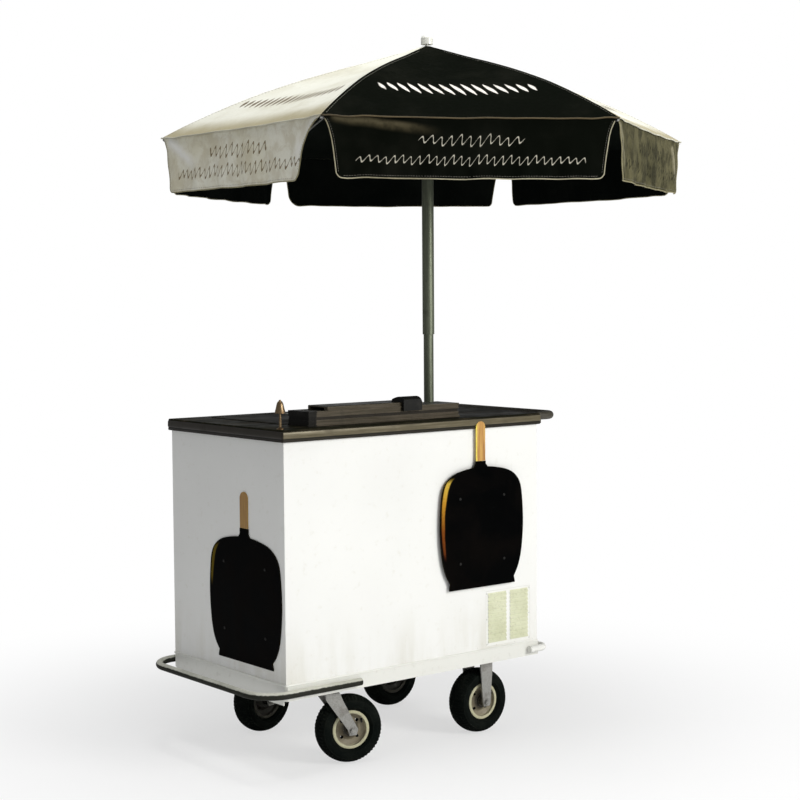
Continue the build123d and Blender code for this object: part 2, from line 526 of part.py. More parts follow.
# x of the cross bar, bend radius, x of the ends, direction from bar to ends, lugs, ties
BUMPERS = (
    (LONG_BUMPER_X, 86.0, -452.0, 1.0, (-480.0, -600.0), ()),
    (SHORT_BUMPER_X, 26.0, 222.0, -1.0, (240.0,), (-150.0, 150.0)),
)
with BuildPart() as bumper_tubes:
    for bar_x, bend, end_x, inward, lug_xs, tie_ys in BUMPERS:
        with BuildLine() as path:
            u_path(end_x, bar_x, BUMPER_Y, BUMPER_Z, bend)
        with BuildSketch(Plane(origin=(end_x, -BUMPER_Y, BUMPER_Z), z_dir=(-inward, 0, 0))):
            Circle(BUMPER_R)
        sweep(path=path.wires()[0])
        # weld lugs to the chassis rail, and ties behind the short bumper
        for x in lug_xs:
            for side in (-1, 1):
                block(x - 8, x + 8, *sorted((side * CHASSIS_Y, side * (BUMPER_Y - 2))),
                      BUMPER_Z - 8, BUMPER_Z + 8)
        for y in tie_ys:
            block(CHASSIS_X1, bar_x, y - 9, y + 9, BUMPER_Z - 4, BUMPER_Z + 4)
write(bumper_tubes, "bumper_tubes")

# ---------------------------------------------------------------- casters
PLATE_X, PLATE_Y = 108.0, 88.0
SWIVEL_PLATE_T, RIGID_PLATE_T = 4.0, 6.0
PIVOT_R = AXLE_R                    # upright pivot pin of a swivel caster
CROWN_Z0, CROWN_T = 213.0, 6.0      # crown plate of a swivel fork


def plate_with_holes(x, y, z0, z1):
    """A caster top plate with its four bolt holes."""
    with BuildSketch(Plane.XY.offset(z0)) as outline:
        with Locations((x, y)):
            RectangleRounded(PLATE_X, PLATE_Y, 8)
            with GridLocations(BOLT_PITCH_X, BOLT_PITCH_Y, 2, 2):
                Circle(BOLT_HOLE_R, mode=Mode.SUBTRACT)
    extrude(outline.sketch, amount=z1 - z0)


def fork_cheek(plane, side, top_half, lean, z_top):
    """One cheek of a wheel fork: a tapered plate from the crown down to the axle boss."""
    with BuildSketch(plane.offset(side * (FORK_IN + FORK_T / 2))) as cheek:
        with BuildLine():
            Polyline((-top_half, z_top), (top_half, z_top), (top_half + lean * 0.14, z_top - 22),
                     (lean + 16, WHEEL_R + 4), (lean + 11, WHEEL_R - 13),
                     (lean - 11, WHEEL_R - 13), (lean - 16, WHEEL_R + 4),
                     (-top_half, z_top - 16), close=True)
        make_face()
        with Locations((lean, WHEEL_R)):
            Circle(AXLE_R + 0.1, mode=Mode.SUBTRACT)
    extrude(cheek.sketch, amount=FORK_T / 2, both=True)


def axle_bolt(plane, lean):
    """Axle bolt with a head and a nut outside the cheeks."""
    rod(plane, lean, WHEEL_R, AXLE_R, FORK_IN + FORK_T + 9, both=True)
    for side in (-1, 1):
        with BuildSketch(plane.offset(side * (FORK_IN + FORK_T + 3.7))) as hexagon:
            with Locations((lean, WHEEL_R)):
                RegularPolygon(radius=10.5, side_count=6)
        extrude(hexagon.sketch, amount=3.5, both=True)


def heading(turn):
    """Level direction at an angle from +X, in degrees."""
    return (cos(radians(turn)), sin(radians(turn)), 0)


def sideways(turn):
    """Level direction square to a heading, to its right."""
    return (sin(radians(turn)), -cos(radians(turn)), 0)


def wheel_plane(x, y, turn):
    """Upright plane through a caster: x along its trail, y up, normal along the axle."""
    return Plane(origin=(x, y, 0), x_dir=heading(turn), z_dir=sideways(turn))


with BuildPart() as swivel_plates:
    plate_z0 = CHASSIS_Z0 - SWIVEL_PLATE_T
    for y in (-SWIVEL_Y, SWIVEL_Y):
        plate_with_holes(SWIVEL_X, y, plate_z0, CHASSIS_Z0)
        # swivel housing, its lower face, the pivot pin and the pin's head
        disc(SWIVEL_X, y, 27, 220, plate_z0)
        disc(SWIVEL_X, y, 22, 219.5, 220)
        disc(SWIVEL_X, y, PIVOT_R, 206.5, 219.5)
        disc(SWIVEL_X, y, 9.5, 205.5, 212)
write(swivel_plates, "swivel_plates")

for name, y, turn in (("swivel_fork_front", -SWIVEL_Y, TURN_FRONT),
                      ("swivel_fork_rear", SWIVEL_Y, TURN_REAR)):
    plane = wheel_plane(SWIVEL_X, y, turn)
    with BuildPart() as fork:
        for side in (-1, 1):
            fork_cheek(plane, side, 22.0, TRAIL, 218.0)
        # crown plate across the cheeks
        with BuildSketch(Plane(origin=(SWIVEL_X, y, CROWN_Z0), x_dir=heading(turn),
                               z_dir=(0, 0, 1))):
            Rectangle(44, 2 * (FORK_IN + FORK_T))
            Circle(30)
            Circle(PIVOT_R + 0.05, mode=Mode.SUBTRACT)
        extrude(amount=CROWN_T)
        axle_bolt(plane, TRAIL)
    write(fork, name)

with BuildPart() as rigid_forks:
    plate_z0 = CHASSIS_Z0 - RIGID_PLATE_T
    for y in (-RIGID_Y, RIGID_Y):
        plate_with_holes(RIGID_X, y, plate_z0, CHASSIS_Z0)
        plane = wheel_plane(RIGID_X, y, 0)
        for side in (-1, 1):
            fork_cheek(plane, side, 24.0, 0.0, plate_z0)
        axle_bolt(plane, 0)
write(rigid_forks, "rigid_forks")

BOLT_R, BOLT_HEX_R = 4.0, 7.2
BOLT_HEAD_H, BOLT_NUT_H = 5.3, 6.5
plate_thicknesses = (SWIVEL_PLATE_T, SWIVEL_PLATE_T, RIGID_PLATE_T, RIGID_PLATE_T)
with BuildPart() as caster_bolts:
    for spot, plate_t in zip(CASTER_SPOTS, plate_thicknesses):
        seat = CHASSIS_Z0 - plate_t
        with BuildSketch(Plane.XY.offset(seat)):
            with Locations(spot):
                with GridLocations(BOLT_PITCH_X, BOLT_PITCH_Y, 2, 2):
                    Circle(BOLT_R)
        extrude(amount=CHASSIS_Z0 + 15 - seat)
        # heads under the plate, nuts on the cross member
        for z, height in ((seat - BOLT_HEAD_H, BOLT_HEAD_H), (web_z, BOLT_NUT_H)):
            with BuildSketch(Plane.XY.offset(z)):
                with Locations(spot):
                    with GridLocations(BOLT_PITCH_X, BOLT_PITCH_Y, 2, 2):
                        RegularPolygon(radius=BOLT_HEX_R, side_count=6)
            extrude(amount=height)
write(caster_bolts, "caster_bolts")

# ---------------------------------------------------------------- wheels
HUB_R, SEAT_R, FLANGE_R = 15.0, 50.5, 57.5
BORE_R = AXLE_R + 0.05
# Sections below are (radius, distance from the wheel's middle plane)
# one half of the disc, dished towards its face
DISC_SECTION = (
    (HUB_R - 1, 20), (22, 20), (34, 10), (43, 13), (SEAT_R - 1, 17),
    (SEAT_R - 1, 14), (43, 10), (34, 7), (21, 16.5), (HUB_R - 1, 16.5),
)
FLANGE_SECTION = (
    (SEAT_R - 2.5, 24), (FLANGE_R - 1.5, 24), (FLANGE_R, 25.2), (FLANGE_R - 1.5, 26.6),
    (SEAT_R, 27), (SEAT_R - 2.5, 26),
)
# one half of the tyre, from the bead out to the middle of the tread
BEAD = ((SEAT_R + 0.05, 23.8), (FLANGE_R + 0.5, 23.8), (FLANGE_R + 2.5, 27.5))
SIDEWALL = (BEAD[-1], (70, TYRE_HALF - 0.3), (80, TYRE_HALF), (91, TYRE_HALF - 4))
SHOULDER = (SIDEWALL[-1], (97.5, TYRE_HALF - 12), (100.6, 10.5), (WHEEL_R - 0.2, 8))
TREAD = (SHOULDER[-1], (98.6, 7.4), (98.6, 5.0), (WHEEL_R - 0.1, 4.4))


def mirrored(points):
    """The same run on the other half of the section, in reverse."""
    return [(radius, -across) for radius, across in reversed(points)]


# name, caster x, caster y, trail, heading
WHEELS = (
    ("front_left", SWIVEL_X, -SWIVEL_Y, TRAIL, TURN_FRONT),
    ("rear_left", SWIVEL_X, SWIVEL_Y, TRAIL, TURN_REAR),
    ("front_right", RIGID_X, -RIGID_Y, 0.0, 0.0),
    ("rear_right", RIGID_X, RIGID_Y, 0.0, 0.0),
)
for name, caster_x, caster_y, trail, turn in WHEELS:
    ahead_x, ahead_y, _ = heading(turn)
    centre = (caster_x + trail * ahead_x, caster_y + trail * ahead_y, WHEEL_R)
    section_plane = Plane(origin=centre, x_dir=(0, 0, 1), z_dir=(-ahead_x, -ahead_y, 0))
    side_plane = Plane(origin=centre, x_dir=(0, 0, 1), z_dir=sideways(turn))
    spin = Axis(centre, sideways(turn))

    # Pressed wheel: hub tube, dished disc and a bead seat with two flanges
    with BuildPart() as rim:
        with BuildSketch(section_plane):
            with Locations(((BORE_R + HUB_R) / 2, 0)):
                Rectangle(HUB_R - BORE_R, 2 * FORK_IN - 4)
            for side in (-1, 1):
                with BuildLine():
                    Polyline(*((r, side * across) for r, across in DISC_SECTION), close=True)
                make_face()
            with Locations((SEAT_R - 1.25, 0)):
                Rectangle(2.5, 50)
            for side in (-1, 1):
                with BuildLine():
                    Polyline(*((r, side * across) for r, across in FLANGE_SECTION), close=True)
                make_face()
        revolve(axis=spin)
        # hand holes through the disc
        for k in range(4):
            turn_k = radians(45 + 90 * k)
            rod(side_plane, 33.5 * cos(turn_k), 33.5 * sin(turn_k), 5.5, 30, both=True,
                mode=Mode.SUBTRACT)
    write(rim, "rim_" + name)

    with BuildPart() as tyre:
        with BuildSketch(section_plane):
            with BuildLine():
                Polyline(mirrored(BEAD)[-1], *BEAD)
                Spline(*SIDEWALL)
                Spline(*SHOULDER)
                Polyline(*TREAD, (WHEEL_R, 0), *mirrored(TREAD))
                Spline(*mirrored(SHOULDER))
                Spline(*mirrored(SIDEWALL))
                Polyline(*mirrored(BEAD))
            make_face()
        revolve(axis=spin)
    write(tyre, "tyre_" + name)

# ---------------------------------------------------------------- display signs
BOARD_T = 3.0
SIGN_GAP = 9.0                      # holds the front board in front of the counter edge
STANDOFF_R = 8.0
front_face = Plane(origin=(0, -CAB_Y - SIGN_GAP, 0), x_dir=(1, 0, 0), z_dir=(0, -1, 0))
end_face = Plane(origin=(CAB_X0, 0, 0), x_dir=(0, -1, 0), z_dir=(-1, 0, 0))

# Side of a bar: fraction of its height, fraction of its greatest half width
BAR_SIDE = ((0.17, 0.90), (0.34, 0.975), (0.52, 1.0), (0.72, 0.975), (0.86, 0.90),
            (0.935, 0.73), (0.98, 0.43))

# Centres run along each face's own x
FRONT_CX, FRONT_Z0, FRONT_Z1, FRONT_TOP = 26.0, 480.0, 854.0, 994.0
FRONT_STICK, FRONT_NECK = 20.0, 17.0            # stick centre, neck height
END_CX, END_Z0, END_Z1, END_TOP = 98.5, 312.0, 683.0, 815.0
END_NECK = 25.0


def bar_outline(cx, z_base, z_top, half_base, half_wide, neck_cx, neck_half, neck_h):
    """Bar in the open sketch: flat foot with small toes, bulging sides, rounded
    shoulders, and a neck round the stick."""
    height = z_top - z_base
    toe = half_base + 4
    right = [(cx + half_base, z_base + 0.055 * height)]
    right += [(cx + wide * half_wide, z_base + up * height) for up, wide in BAR_SIDE]
    left = [(2 * cx - x, z) for x, z in reversed(right)]
    with BuildLine() as edge:
        Polyline(left[-1], (cx - toe, z_base + 5), (cx - toe, z_base),
                 (cx + toe, z_base), (cx + toe, z_base + 5), right[0])
        Spline(*right, (cx, z_top), *left)
    make_face(edge.edges())
    neck_side = ((neck_half + 13, z_top - 8), (neck_half + 8, z_top - 1),
                 (neck_half, z_top + 9), (neck_half, z_top + neck_h))
    with BuildLine() as neck:
        Polyline(*((neck_cx - half, z) for half, z in neck_side),
                 *((neck_cx + half, z) for half, z in reversed(neck_side)), close=True)
    make_face(neck.edges())


with BuildPart() as sign_bars:
    with BuildSketch(front_face):
        bar_outline(FRONT_CX, FRONT_Z0, FRONT_Z1, 131.0, 171.0, FRONT_STICK, 20.5, FRONT_NECK)
    extrude(amount=BOARD_T)
    for z in (560, 760):
        for side in (-1, 1):
            rod(front_face, FRONT_CX + 90 * side, z, STANDOFF_R, -SIGN_GAP)
    with BuildSketch(end_face):
        bar_outline(END_CX, END_Z0, END_Z1, 139.0, 188.0, END_CX, 22.0, END_NECK)
    extrude(amount=BOARD_T)
write(sign_bars, "sign_bars")

with BuildPart() as sign_sticks:
    for face, cx, z0, z1, half in (
        (front_face, FRONT_STICK, FRONT_Z1 + FRONT_NECK, FRONT_TOP, 18.5),
        (end_face, END_CX, END_Z1 + END_NECK, END_TOP, 20.0),
    ):
        with BuildSketch(face):
            with BuildLine():
                Polyline((cx - half, z1 - half), (cx - half, z0 + 0.8),
                         (cx + half, z0 + 0.8), (cx + half, z1 - half))
                ThreePointArc((cx + half, z1 - half), (cx, z1), (cx - half, z1 - half))
            make_face()
        extrude(amount=BOARD_T)
    rod(front_face, FRONT_STICK, 915, STANDOFF_R, -SIGN_GAP)
write(sign_sticks, "sign_sticks")

# ---------------------------------------------------------------- umbrella
RIB_PIVOT_R, RIB_PIVOT_Z = 22.0, 2156.0
STRETCHER_R0, STRETCHER_Z0 = 30.0, 1826.0       # stretcher pivot on the runner
STRETCHER_R1, STRETCHER_Z1 = 420.0, 2046.0      # stretcher end beside the rib
PIVOT_PIN_R = 2.0
PIVOT_EYE_R = PIVOT_PIN_R + 0.05

with BuildPart() as pole_lower:
    disc(POLE_X, POLE_Y, POLE_R, POLE_Z0, 1560)
    disc(POLE_X, POLE_Y, POLE_R - 2, POLE_Z0 + 1, 1561, mode=Mode.SUBTRACT)
write(pole_lower, "pole_lower")

with BuildPart() as pole_upper:
    disc(POLE_X, POLE_Y, SLEEVE_R, SLEEVE_Z0, 2136)
    disc(POLE_X, POLE_Y, POLE_R + POLE_RUN, SLEEVE_Z0 - 1, 2130, mode=Mode.SUBTRACT)
    disc(POLE_X, POLE_Y, SLEEVE_R - 3, 2120, 2137, mode=Mode.SUBTRACT)
write(pole_upper, "pole_upper")


def spoke(k, offset_by=0.0):
    """Upright plane through the pole along corner k: x outwards, y up, normal sideways."""
    side_x, side_y, _ = normal = sideways(CORNER_TURNS[k])
    return Plane(origin=(POLE_X + side_x * offset_by, POLE_Y + side_y * offset_by, 0),
                 x_dir=heading(CORNER_TURNS[k]), z_dir=normal)


with BuildPart() as umbrella_crown:
    disc(POLE_X, POLE_Y, 29, 2145, 2163)
    disc(POLE_X, POLE_Y, 15.9, 2130, 2145)
    # slots for the ribs, then a pivot pin across each
    for k in range(6):
        with BuildSketch(spoke(k)):
            with BuildLine():
                Polyline((14, 2144), (40, 2144), (40, 2167), (14, 2167), close=True)
            make_face()
        extrude(amount=4.6, both=True, mode=Mode.SUBTRACT)
    for k in range(6):
        rod(spoke(k), RIB_PIVOT_R, RIB_PIVOT_Z, PIVOT_PIN_R, 5.5, both=True)
    disc(POLE_X, POLE_Y, 6, 2160, 2184)
    # turned finial above the fabric
    with BuildSketch(turning_plane(POLE_X, POLE_Y)):
        with BuildLine():
            Polyline((0, 2181), (19, 2181), (19, 2200))
            ThreePointArc((19, 2200), (14, 2208), (5, 2210))
            Polyline((5, 2210), (0, 2210), (0, 2181))
        make_face()
    revolve(axis=upright_axis(POLE_X, POLE_Y))
write(umbrella_crown, "umbrella_crown")

with BuildPart() as umbrella_runner:
    disc(POLE_X, POLE_Y, 25, STRETCHER_Z0 - 34, STRETCHER_Z0 + 14)
    disc(POLE_X, POLE_Y, 29, STRETCHER_Z0 - 34, STRETCHER_Z0 - 28)
    # a lug with its pivot pin beside each spoke
    for k in range(6):
        with BuildSketch(spoke(k, 3.2)):
            with BuildLine():
                Polyline((20, STRETCHER_Z0 - 10), (34, STRETCHER_Z0 - 10), (36, STRETCHER_Z0),
                         (34, STRETCHER_Z0 + 8), (20, STRETCHER_Z0 + 8), close=True)
            make_face()
        extrude(amount=2.2, both=True)
        rod(spoke(k, 5.4), STRETCHER_R0, STRETCHER_Z0, PIVOT_PIN_R, 5.4)
    disc(POLE_X, POLE_Y, SLEEVE_R + POLE_RUN, STRETCHER_Z0 - 40, STRETCHER_Z0 + 20,
         mode=Mode.SUBTRACT)
write(umbrella_runner, "umbrella_runner")

# Ribs follow the canopy 8 to 10 mm below it, bowed between pivot and corner.
RIB_TIP = (CANOPY_R - 9, HEM_Z - 5.0)
rib_line = [(r, z - 8.0 - 2.0 * (1 - r / CANOPY_R)) for r, z in CANOPY_PROFILE[1:-1]]
rib_line.append(RIB_TIP)
rib_top = [(RIB_PIVOT_R, RIB_PIVOT_Z + 3.5)] + [(r, z + 3.0) for r, z in rib_line]
rib_low = [(RIB_PIVOT_R, RIB_PIVOT_Z - 3.5)] + [(r, z - 3.0) for r, z in rib_line]
for k in range(6):
    with BuildPart() as rib:
        with BuildSketch(spoke(k)):
            with BuildLine():
                Polyline(*rib_top, *reversed(rib_low), close=True)
            make_face()
            # eye at the crown and rounded tip at the canopy corner
            with Locations((RIB_PIVOT_R, RIB_PIVOT_Z)):
                Circle(5)
            with Locations(RIB_TIP):
                Circle(4.6)
            with Locations((RIB_PIVOT_R, RIB_PIVOT_Z)):
                Circle(PIVOT_EYE_R, mode=Mode.SUBTRACT)
        extrude(amount=4, both=True)
    write(rib, "rib_" + str(k + 1))

# Stretchers: flat bars with an eye at each end.
run, rise = STRETCHER_R1 - STRETCHER_R0, STRETCHER_Z1 - STRETCHER_Z0
stretcher_len = sqrt(run ** 2 + rise ** 2)
across_r, across_z = 4 * rise / stretcher_len, 4 * run / stretcher_len      # half width
stretcher_ends = ((STRETCHER_R0, STRETCHER_Z0), (STRETCHER_R1, STRETCHER_Z1))
for k in range(6):
    with BuildPart() as stretcher:
        with BuildSketch(spoke(k, 8.0)):
            with BuildLine():
                Polyline(*((r + across_r, z - across_z) for r, z in stretcher_ends),
                         *((r - across_r, z + across_z) for r, z in reversed(stretcher_ends)),
                         close=True)
            make_face()
            with Locations(*stretcher_ends):
                Circle(5.5)
            with Locations(*stretcher_ends):
                Circle(PIVOT_EYE_R, mode=Mode.SUBTRACT)
        extrude(amount=2, both=True)
    write(stretcher, "stretcher_" + str(k + 1))

# Canopy: six flat-sided panels bowed from crown to hem.  The same stack of lofts,
# lowered by the fabric's depth, is cut away to leave a thin shell.
CANOPY_T = 2.5
with BuildPart() as canopy:
    for drop, mode in ((0.0, Mode.ADD), (-CANOPY_T, Mode.SUBTRACT)):
        for upper, lower in zip(CANOPY_PROFILE[:-1], CANOPY_PROFILE[1:]):
            for corner_r, z in (lower, upper):
                with BuildSketch(Plane.XY.offset(z + drop)):
                    with Locations((POLE_X, POLE_Y)):
                        RegularPolygon(radius=corner_r, side_count=6, rotation=30)
            loft(ruled=True, mode=mode)
    disc(POLE_X, POLE_Y, 6.5, 2100, 2190, mode=Mode.SUBTRACT)
write(canopy, "canopy")

# Valance: from each corner two half flaps hang along the hem of the neighbouring panels.
FLAP_H = 168.0
FLAP_GAP = 7.0                      # from the corner to the flap's top
FLAP_IN = 32.0                      # how far a flap's side slopes in at its foot
VALANCE_R = CANOPY_R - 3            # corner radius, inside the canopy's
flap_end = VALANCE_R / 2 - 0.2      # just short of the middle of the panel's hem
flap_z1 = HEM_Z - 0.2
flap_z0 = flap_z1 - FLAP_H
foot_x = FLAP_GAP + FLAP_IN
for k, corner_turn in enumerate(CORNER_TURNS):
    out_x, out_y, _ = heading(corner_turn)
    corner = (POLE_X + VALANCE_R * out_x, POLE_Y + VALANCE_R * out_y, 0)
    with BuildPart() as valance:
        for side in (-1, 1):
            # plane with x along the hem and y up
            hem_turn = corner_turn + side * 120
            with BuildSketch(Plane(origin=corner, x_dir=heading(hem_turn),
                                   z_dir=sideways(hem_turn))):
                with BuildLine():
                    Polyline((flap_end, flap_z0), (flap_end, flap_z1), (FLAP_GAP, flap_z1),
                             (foot_x - 3, flap_z0 + 24))
                    ThreePointArc((foot_x - 3, flap_z0 + 24), (foot_x + 5.5, flap_z0 + 7),
                                  (foot_x + 22, flap_z0))
                    Line((foot_x + 22, flap_z0), (flap_end, flap_z0))
                make_face()
            extrude(amount=0.7, both=True)
    write(valance, "valance_" + str(k + 1))
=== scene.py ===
"""Push cart with a freezer box, counter, service bell, two sign boards and a six-panel umbrella.

Metres, +Z up, floor at z = 0. The cart's length lies along x: swivel casters at the -x end,
push handle at the +x end. Its front faces -y.
"""
import math

import bpy
import numpy as np
from mathutils import Matrix, Vector

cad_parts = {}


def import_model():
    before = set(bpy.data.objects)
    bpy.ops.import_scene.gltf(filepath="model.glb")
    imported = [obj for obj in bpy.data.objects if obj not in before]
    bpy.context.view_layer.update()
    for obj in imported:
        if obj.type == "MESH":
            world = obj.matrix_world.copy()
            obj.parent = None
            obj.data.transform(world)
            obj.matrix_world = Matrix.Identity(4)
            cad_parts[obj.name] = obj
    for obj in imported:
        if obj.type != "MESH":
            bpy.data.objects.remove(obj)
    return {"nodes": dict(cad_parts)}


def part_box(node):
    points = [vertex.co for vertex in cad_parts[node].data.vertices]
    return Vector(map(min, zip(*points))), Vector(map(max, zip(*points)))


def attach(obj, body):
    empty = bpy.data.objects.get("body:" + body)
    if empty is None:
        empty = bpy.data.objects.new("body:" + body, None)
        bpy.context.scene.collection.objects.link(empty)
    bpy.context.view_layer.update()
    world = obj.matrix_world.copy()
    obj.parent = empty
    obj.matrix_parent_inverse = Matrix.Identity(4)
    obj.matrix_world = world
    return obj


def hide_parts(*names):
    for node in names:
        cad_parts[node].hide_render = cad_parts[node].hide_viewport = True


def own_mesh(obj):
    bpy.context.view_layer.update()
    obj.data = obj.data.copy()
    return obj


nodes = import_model()["nodes"]
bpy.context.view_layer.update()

# heading of each wheel about z, in degrees; the left pair swivels
WHEEL_TURN = {"front_left": -17.0, "rear_left": 8.0, "front_right": 0.0, "rear_right": 0.0}
MATERIALS = {}


def wheel_face(wheel):
    """Axle direction of a wheel, pointing to the cart's front."""
    turn = math.radians(WHEEL_TURN[wheel])
    return np.array([math.sin(turn), -math.cos(turn), 0.0])


def box_centre(name):
    low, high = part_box(name)
    return (low + high) / 2


# ------------------------------------------------------------------ material kit
def operation(kind, swapped=False):
    """A Signal method that adds one Math node."""

    def apply(self, other=None):
        pair = (other, self) if swapped else (self, other)
        return self.surface.add("ShaderNodeMath", dict(enumerate(pair)), operation=kind)

    return apply


class Signal:
    """A shader output that can be used in plain arithmetic."""

    def __init__(self, surface, socket):
        self.surface = surface
        self.socket = socket

    __add__ = operation("ADD")
    __radd__ = operation("ADD", swapped=True)
    __sub__ = operation("SUBTRACT")
    __rsub__ = operation("SUBTRACT", swapped=True)
    __mul__ = operation("MULTIPLY")
    __truediv__ = operation("DIVIDE")
    __pow__ = operation("POWER")
    __abs__ = operation("ABSOLUTE")
    maximum = operation("MAXIMUM")
    sqrt = operation("SQRT")
    sine = operation("SINE")
    cosine = operation("COSINE")
    fraction = operation("FRACT")

    def fade(self, start, end, out=(0.0, 1.0)):
        """Smooth step from out[0] at start to out[1] at end; start may be the larger."""
        inputs = {"Value": self, "From Min": start, "From Max": end,
                  "To Min": out[0], "To Max": out[1]}
        return self.surface.add("ShaderNodeMapRange", inputs, interpolation_type="SMOOTHSTEP")

    def window(self, low, high, soft):
        """1 between low and high, fading over a soft margin inside them."""
        return self.fade(start=low, end=low + soft) * self.fade(start=high, end=high - soft)


class Surface:
    """A node material whose base colour is built up in layers."""

    def __init__(self, name, rough, metal=0.0, coat=0.0, sheen=0.0, spec=0.5):
        material = bpy.data.materials.new(name)
        material.use_nodes = True
        MATERIALS[name] = material
        self.tree = material.node_tree
        self.shader = self.tree.nodes["Principled BSDF"]
        settings = {"Roughness": rough, "Metallic": metal, "Coat Weight": coat,
                    "Sheen Weight": sheen, "Specular IOR Level": spec}
        for key, value in settings.items():
            self.put(self.shader.inputs[key], value)
        self.place = self.add("ShaderNodeTexCoord", {}, "Object")

    def put(self, socket, value):
        """Links a signal to a socket, or sets the socket's value; None leaves it alone."""
        if isinstance(value, Signal):
            self.tree.links.new(value.socket, socket)
        elif value is not None:
            socket.default_value = (*value, 1.0) if socket.type == "RGBA" else value

    def add(self, kind, inputs, output=0, **properties):
        """Adds a node, fills its inputs and returns one of its outputs."""
        node = self.tree.nodes.new(kind)
        for key, value in properties.items():
            setattr(node, key, value)
        for key, value in inputs.items():
            self.put(node.inputs[key], value)
        return Signal(self, node.outputs[output])

    def vector_math(self, kind, inputs, output="Value"):
        return self.add("ShaderNodeVectorMath", inputs, output, operation=kind)

    def axes(self, vector=None):
        """The three parts of a vector, by default the place on the object."""
        first = self.add("ShaderNodeSeparateXYZ", {0: vector or self.place})
        return [Signal(self, socket) for socket in first.socket.node.outputs]

    def geometry(self, output):
        return self.add("ShaderNodeNewGeometry", {}, output)

    def upward(self):
        """1 on faces that look up, -1 on faces that look down."""
        return self.axes(self.geometry("Normal"))[2]

    def scaled(self, x=1.0, y=1.0, z=1.0):
        return self.add("ShaderNodeMapping", {"Vector": self.place, "Scale": (x, y, z)})

    def noise(self, scale, detail=4.0, rough=0.55, vector=None, distortion=0.0):
        inputs = {"Vector": vector or self.place, "Scale": scale, "Detail": detail,
                  "Roughness": rough, "Distortion": distortion}
        return self.add("ShaderNodeTexNoise", inputs, "Fac")

    def cells(self, scale):
        inputs = {"Vector": self.place, "Scale": scale}
        return self.add("ShaderNodeTexVoronoi", inputs, "Distance")

    def ramp(self, mask, *stops):
        """Colour ramp from (place, colour) stops."""
        result = self.add("ShaderNodeValToRGB", {0: mask})
        elements = result.socket.node.color_ramp.elements
        while len(elements) > 1:
            elements.remove(elements[-1])
        for i, (place, colour) in enumerate(stops):
            element = elements[0] if i == 0 else elements.new(place)
            element.position = place
            element.color = (*colour, 1.0)
        return result

    def mix(self, mask, low, high):
        """Colour low where the mask is 0, colour high where it is 1."""
        return self.add("ShaderNodeMix", {0: mask, 6: low, 7: high}, 2, data_type="RGBA")

    def base(self, colour):
        self.colour = colour
        self.put(self.shader.inputs["Base Color"], colour)

    def layer(self, mask, colour, amount=None):
        """Lays a colour over the present one where the mask is 1."""
        if amount is not None:
            mask = mask * amount
        self.base(self.mix(mask, self.colour, colour))

    def edge(self, radius):
        """1 near sharp edges of the shape, 0 on flat faces."""
        rounded = self.add("ShaderNodeBevel", {"Radius": radius}, samples=4)
        match = self.vector_math("DOT_PRODUCT", {0: rounded, 1: self.geometry("Normal")})
        return match.fade(start=0.995, end=0.80)

    def rub_edges(self, radius, colour, amount):
        self.layer(self.edge(radius), colour, amount)

    def rough(self, value):
        self.put(self.shader.inputs["Roughness"], value)

    def bump(self, height, strength, distance, after=None):
        inputs = {"Strength": strength, "Distance": distance, "Height": height, "Normal": after}
        result = self.add("ShaderNodeBump", inputs)
        self.put(self.shader.inputs["Normal"], result)
        return result

    def orange_peel(self):
        """The fine pitting of sprayed paint."""
        self.bump(self.noise(scale=420, detail=2, rough=0.5), strength=0.10, distance=0.0006)


def shade(colour, gain, lift=0.0):
    return tuple(min(1.0, part * gain + lift) for part in colour)


# ------------------------------------------------------------------ general materials
def painted(name, colour, dark, rough, coat, wear=(0.45, 0.44, 0.42), wear_amount=0.55,
            grime=None):
    """Sprayed enamel: slight colour drift, rubbed edges, soiling between two grime heights."""
    mat = Surface(name, rough=rough, coat=coat)
    big = mat.noise(scale=2.3, detail=3)
    fine = mat.noise(scale=46, detail=5, rough=0.6)
    mat.base(mat.mix(big.fade(start=0.35, end=0.7), colour, shade(colour, gain=0.965)))
    mat.layer(fine.fade(start=0.56, end=0.8), dark, amount=0.22)
    if grime:
        clean_from = mat.axes()[2].fade(start=grime[1], end=grime[0])
        drip = mat.noise(scale=9, rough=0.6, vector=mat.scaled(z=0.18))
        mat.layer(clean_from * drip.fade(start=0.38, end=0.72), dark, amount=0.42)
    chips = mat.noise(scale=60).fade(start=0.46, end=0.62)
    mat.layer(mat.edge(radius=0.0016) * chips, wear, wear_amount)
    mat.rough(fine.fade(start=0.3, end=0.75, out=(rough * 0.85, rough * 1.35)))
    mat.orange_peel()


def metal(name, colour, rough, streak=1.0, grime=(0.12, 0.10, 0.08), grime_amount=0.5,
          metallic=1.0):
    """Worked metal with grime in patches; a streak below 1 draws the brushing out along z."""
    mat = Surface(name, rough=rough, metal=metallic)
    lines = mat.noise(scale=240, detail=3, rough=0.7, vector=mat.scaled(z=streak))
    patch = mat.noise(scale=17, detail=5, rough=0.62)
    brushed = lines.fade(start=0.35, end=0.68)
    mat.base(mat.mix(brushed, shade(colour, gain=0.80), shade(colour, gain=1.12)))
    mat.layer(patch.fade(start=0.52, end=0.75), grime, grime_amount)
    brushed_rough = lines.fade(start=0.3, end=0.7, out=(rough - 0.08, rough + 0.12))
    mat.rough(brushed_rough + patch.fade(start=0.5, end=0.8) * 0.22)
    mat.bump(lines, strength=0.12, distance=0.0004)


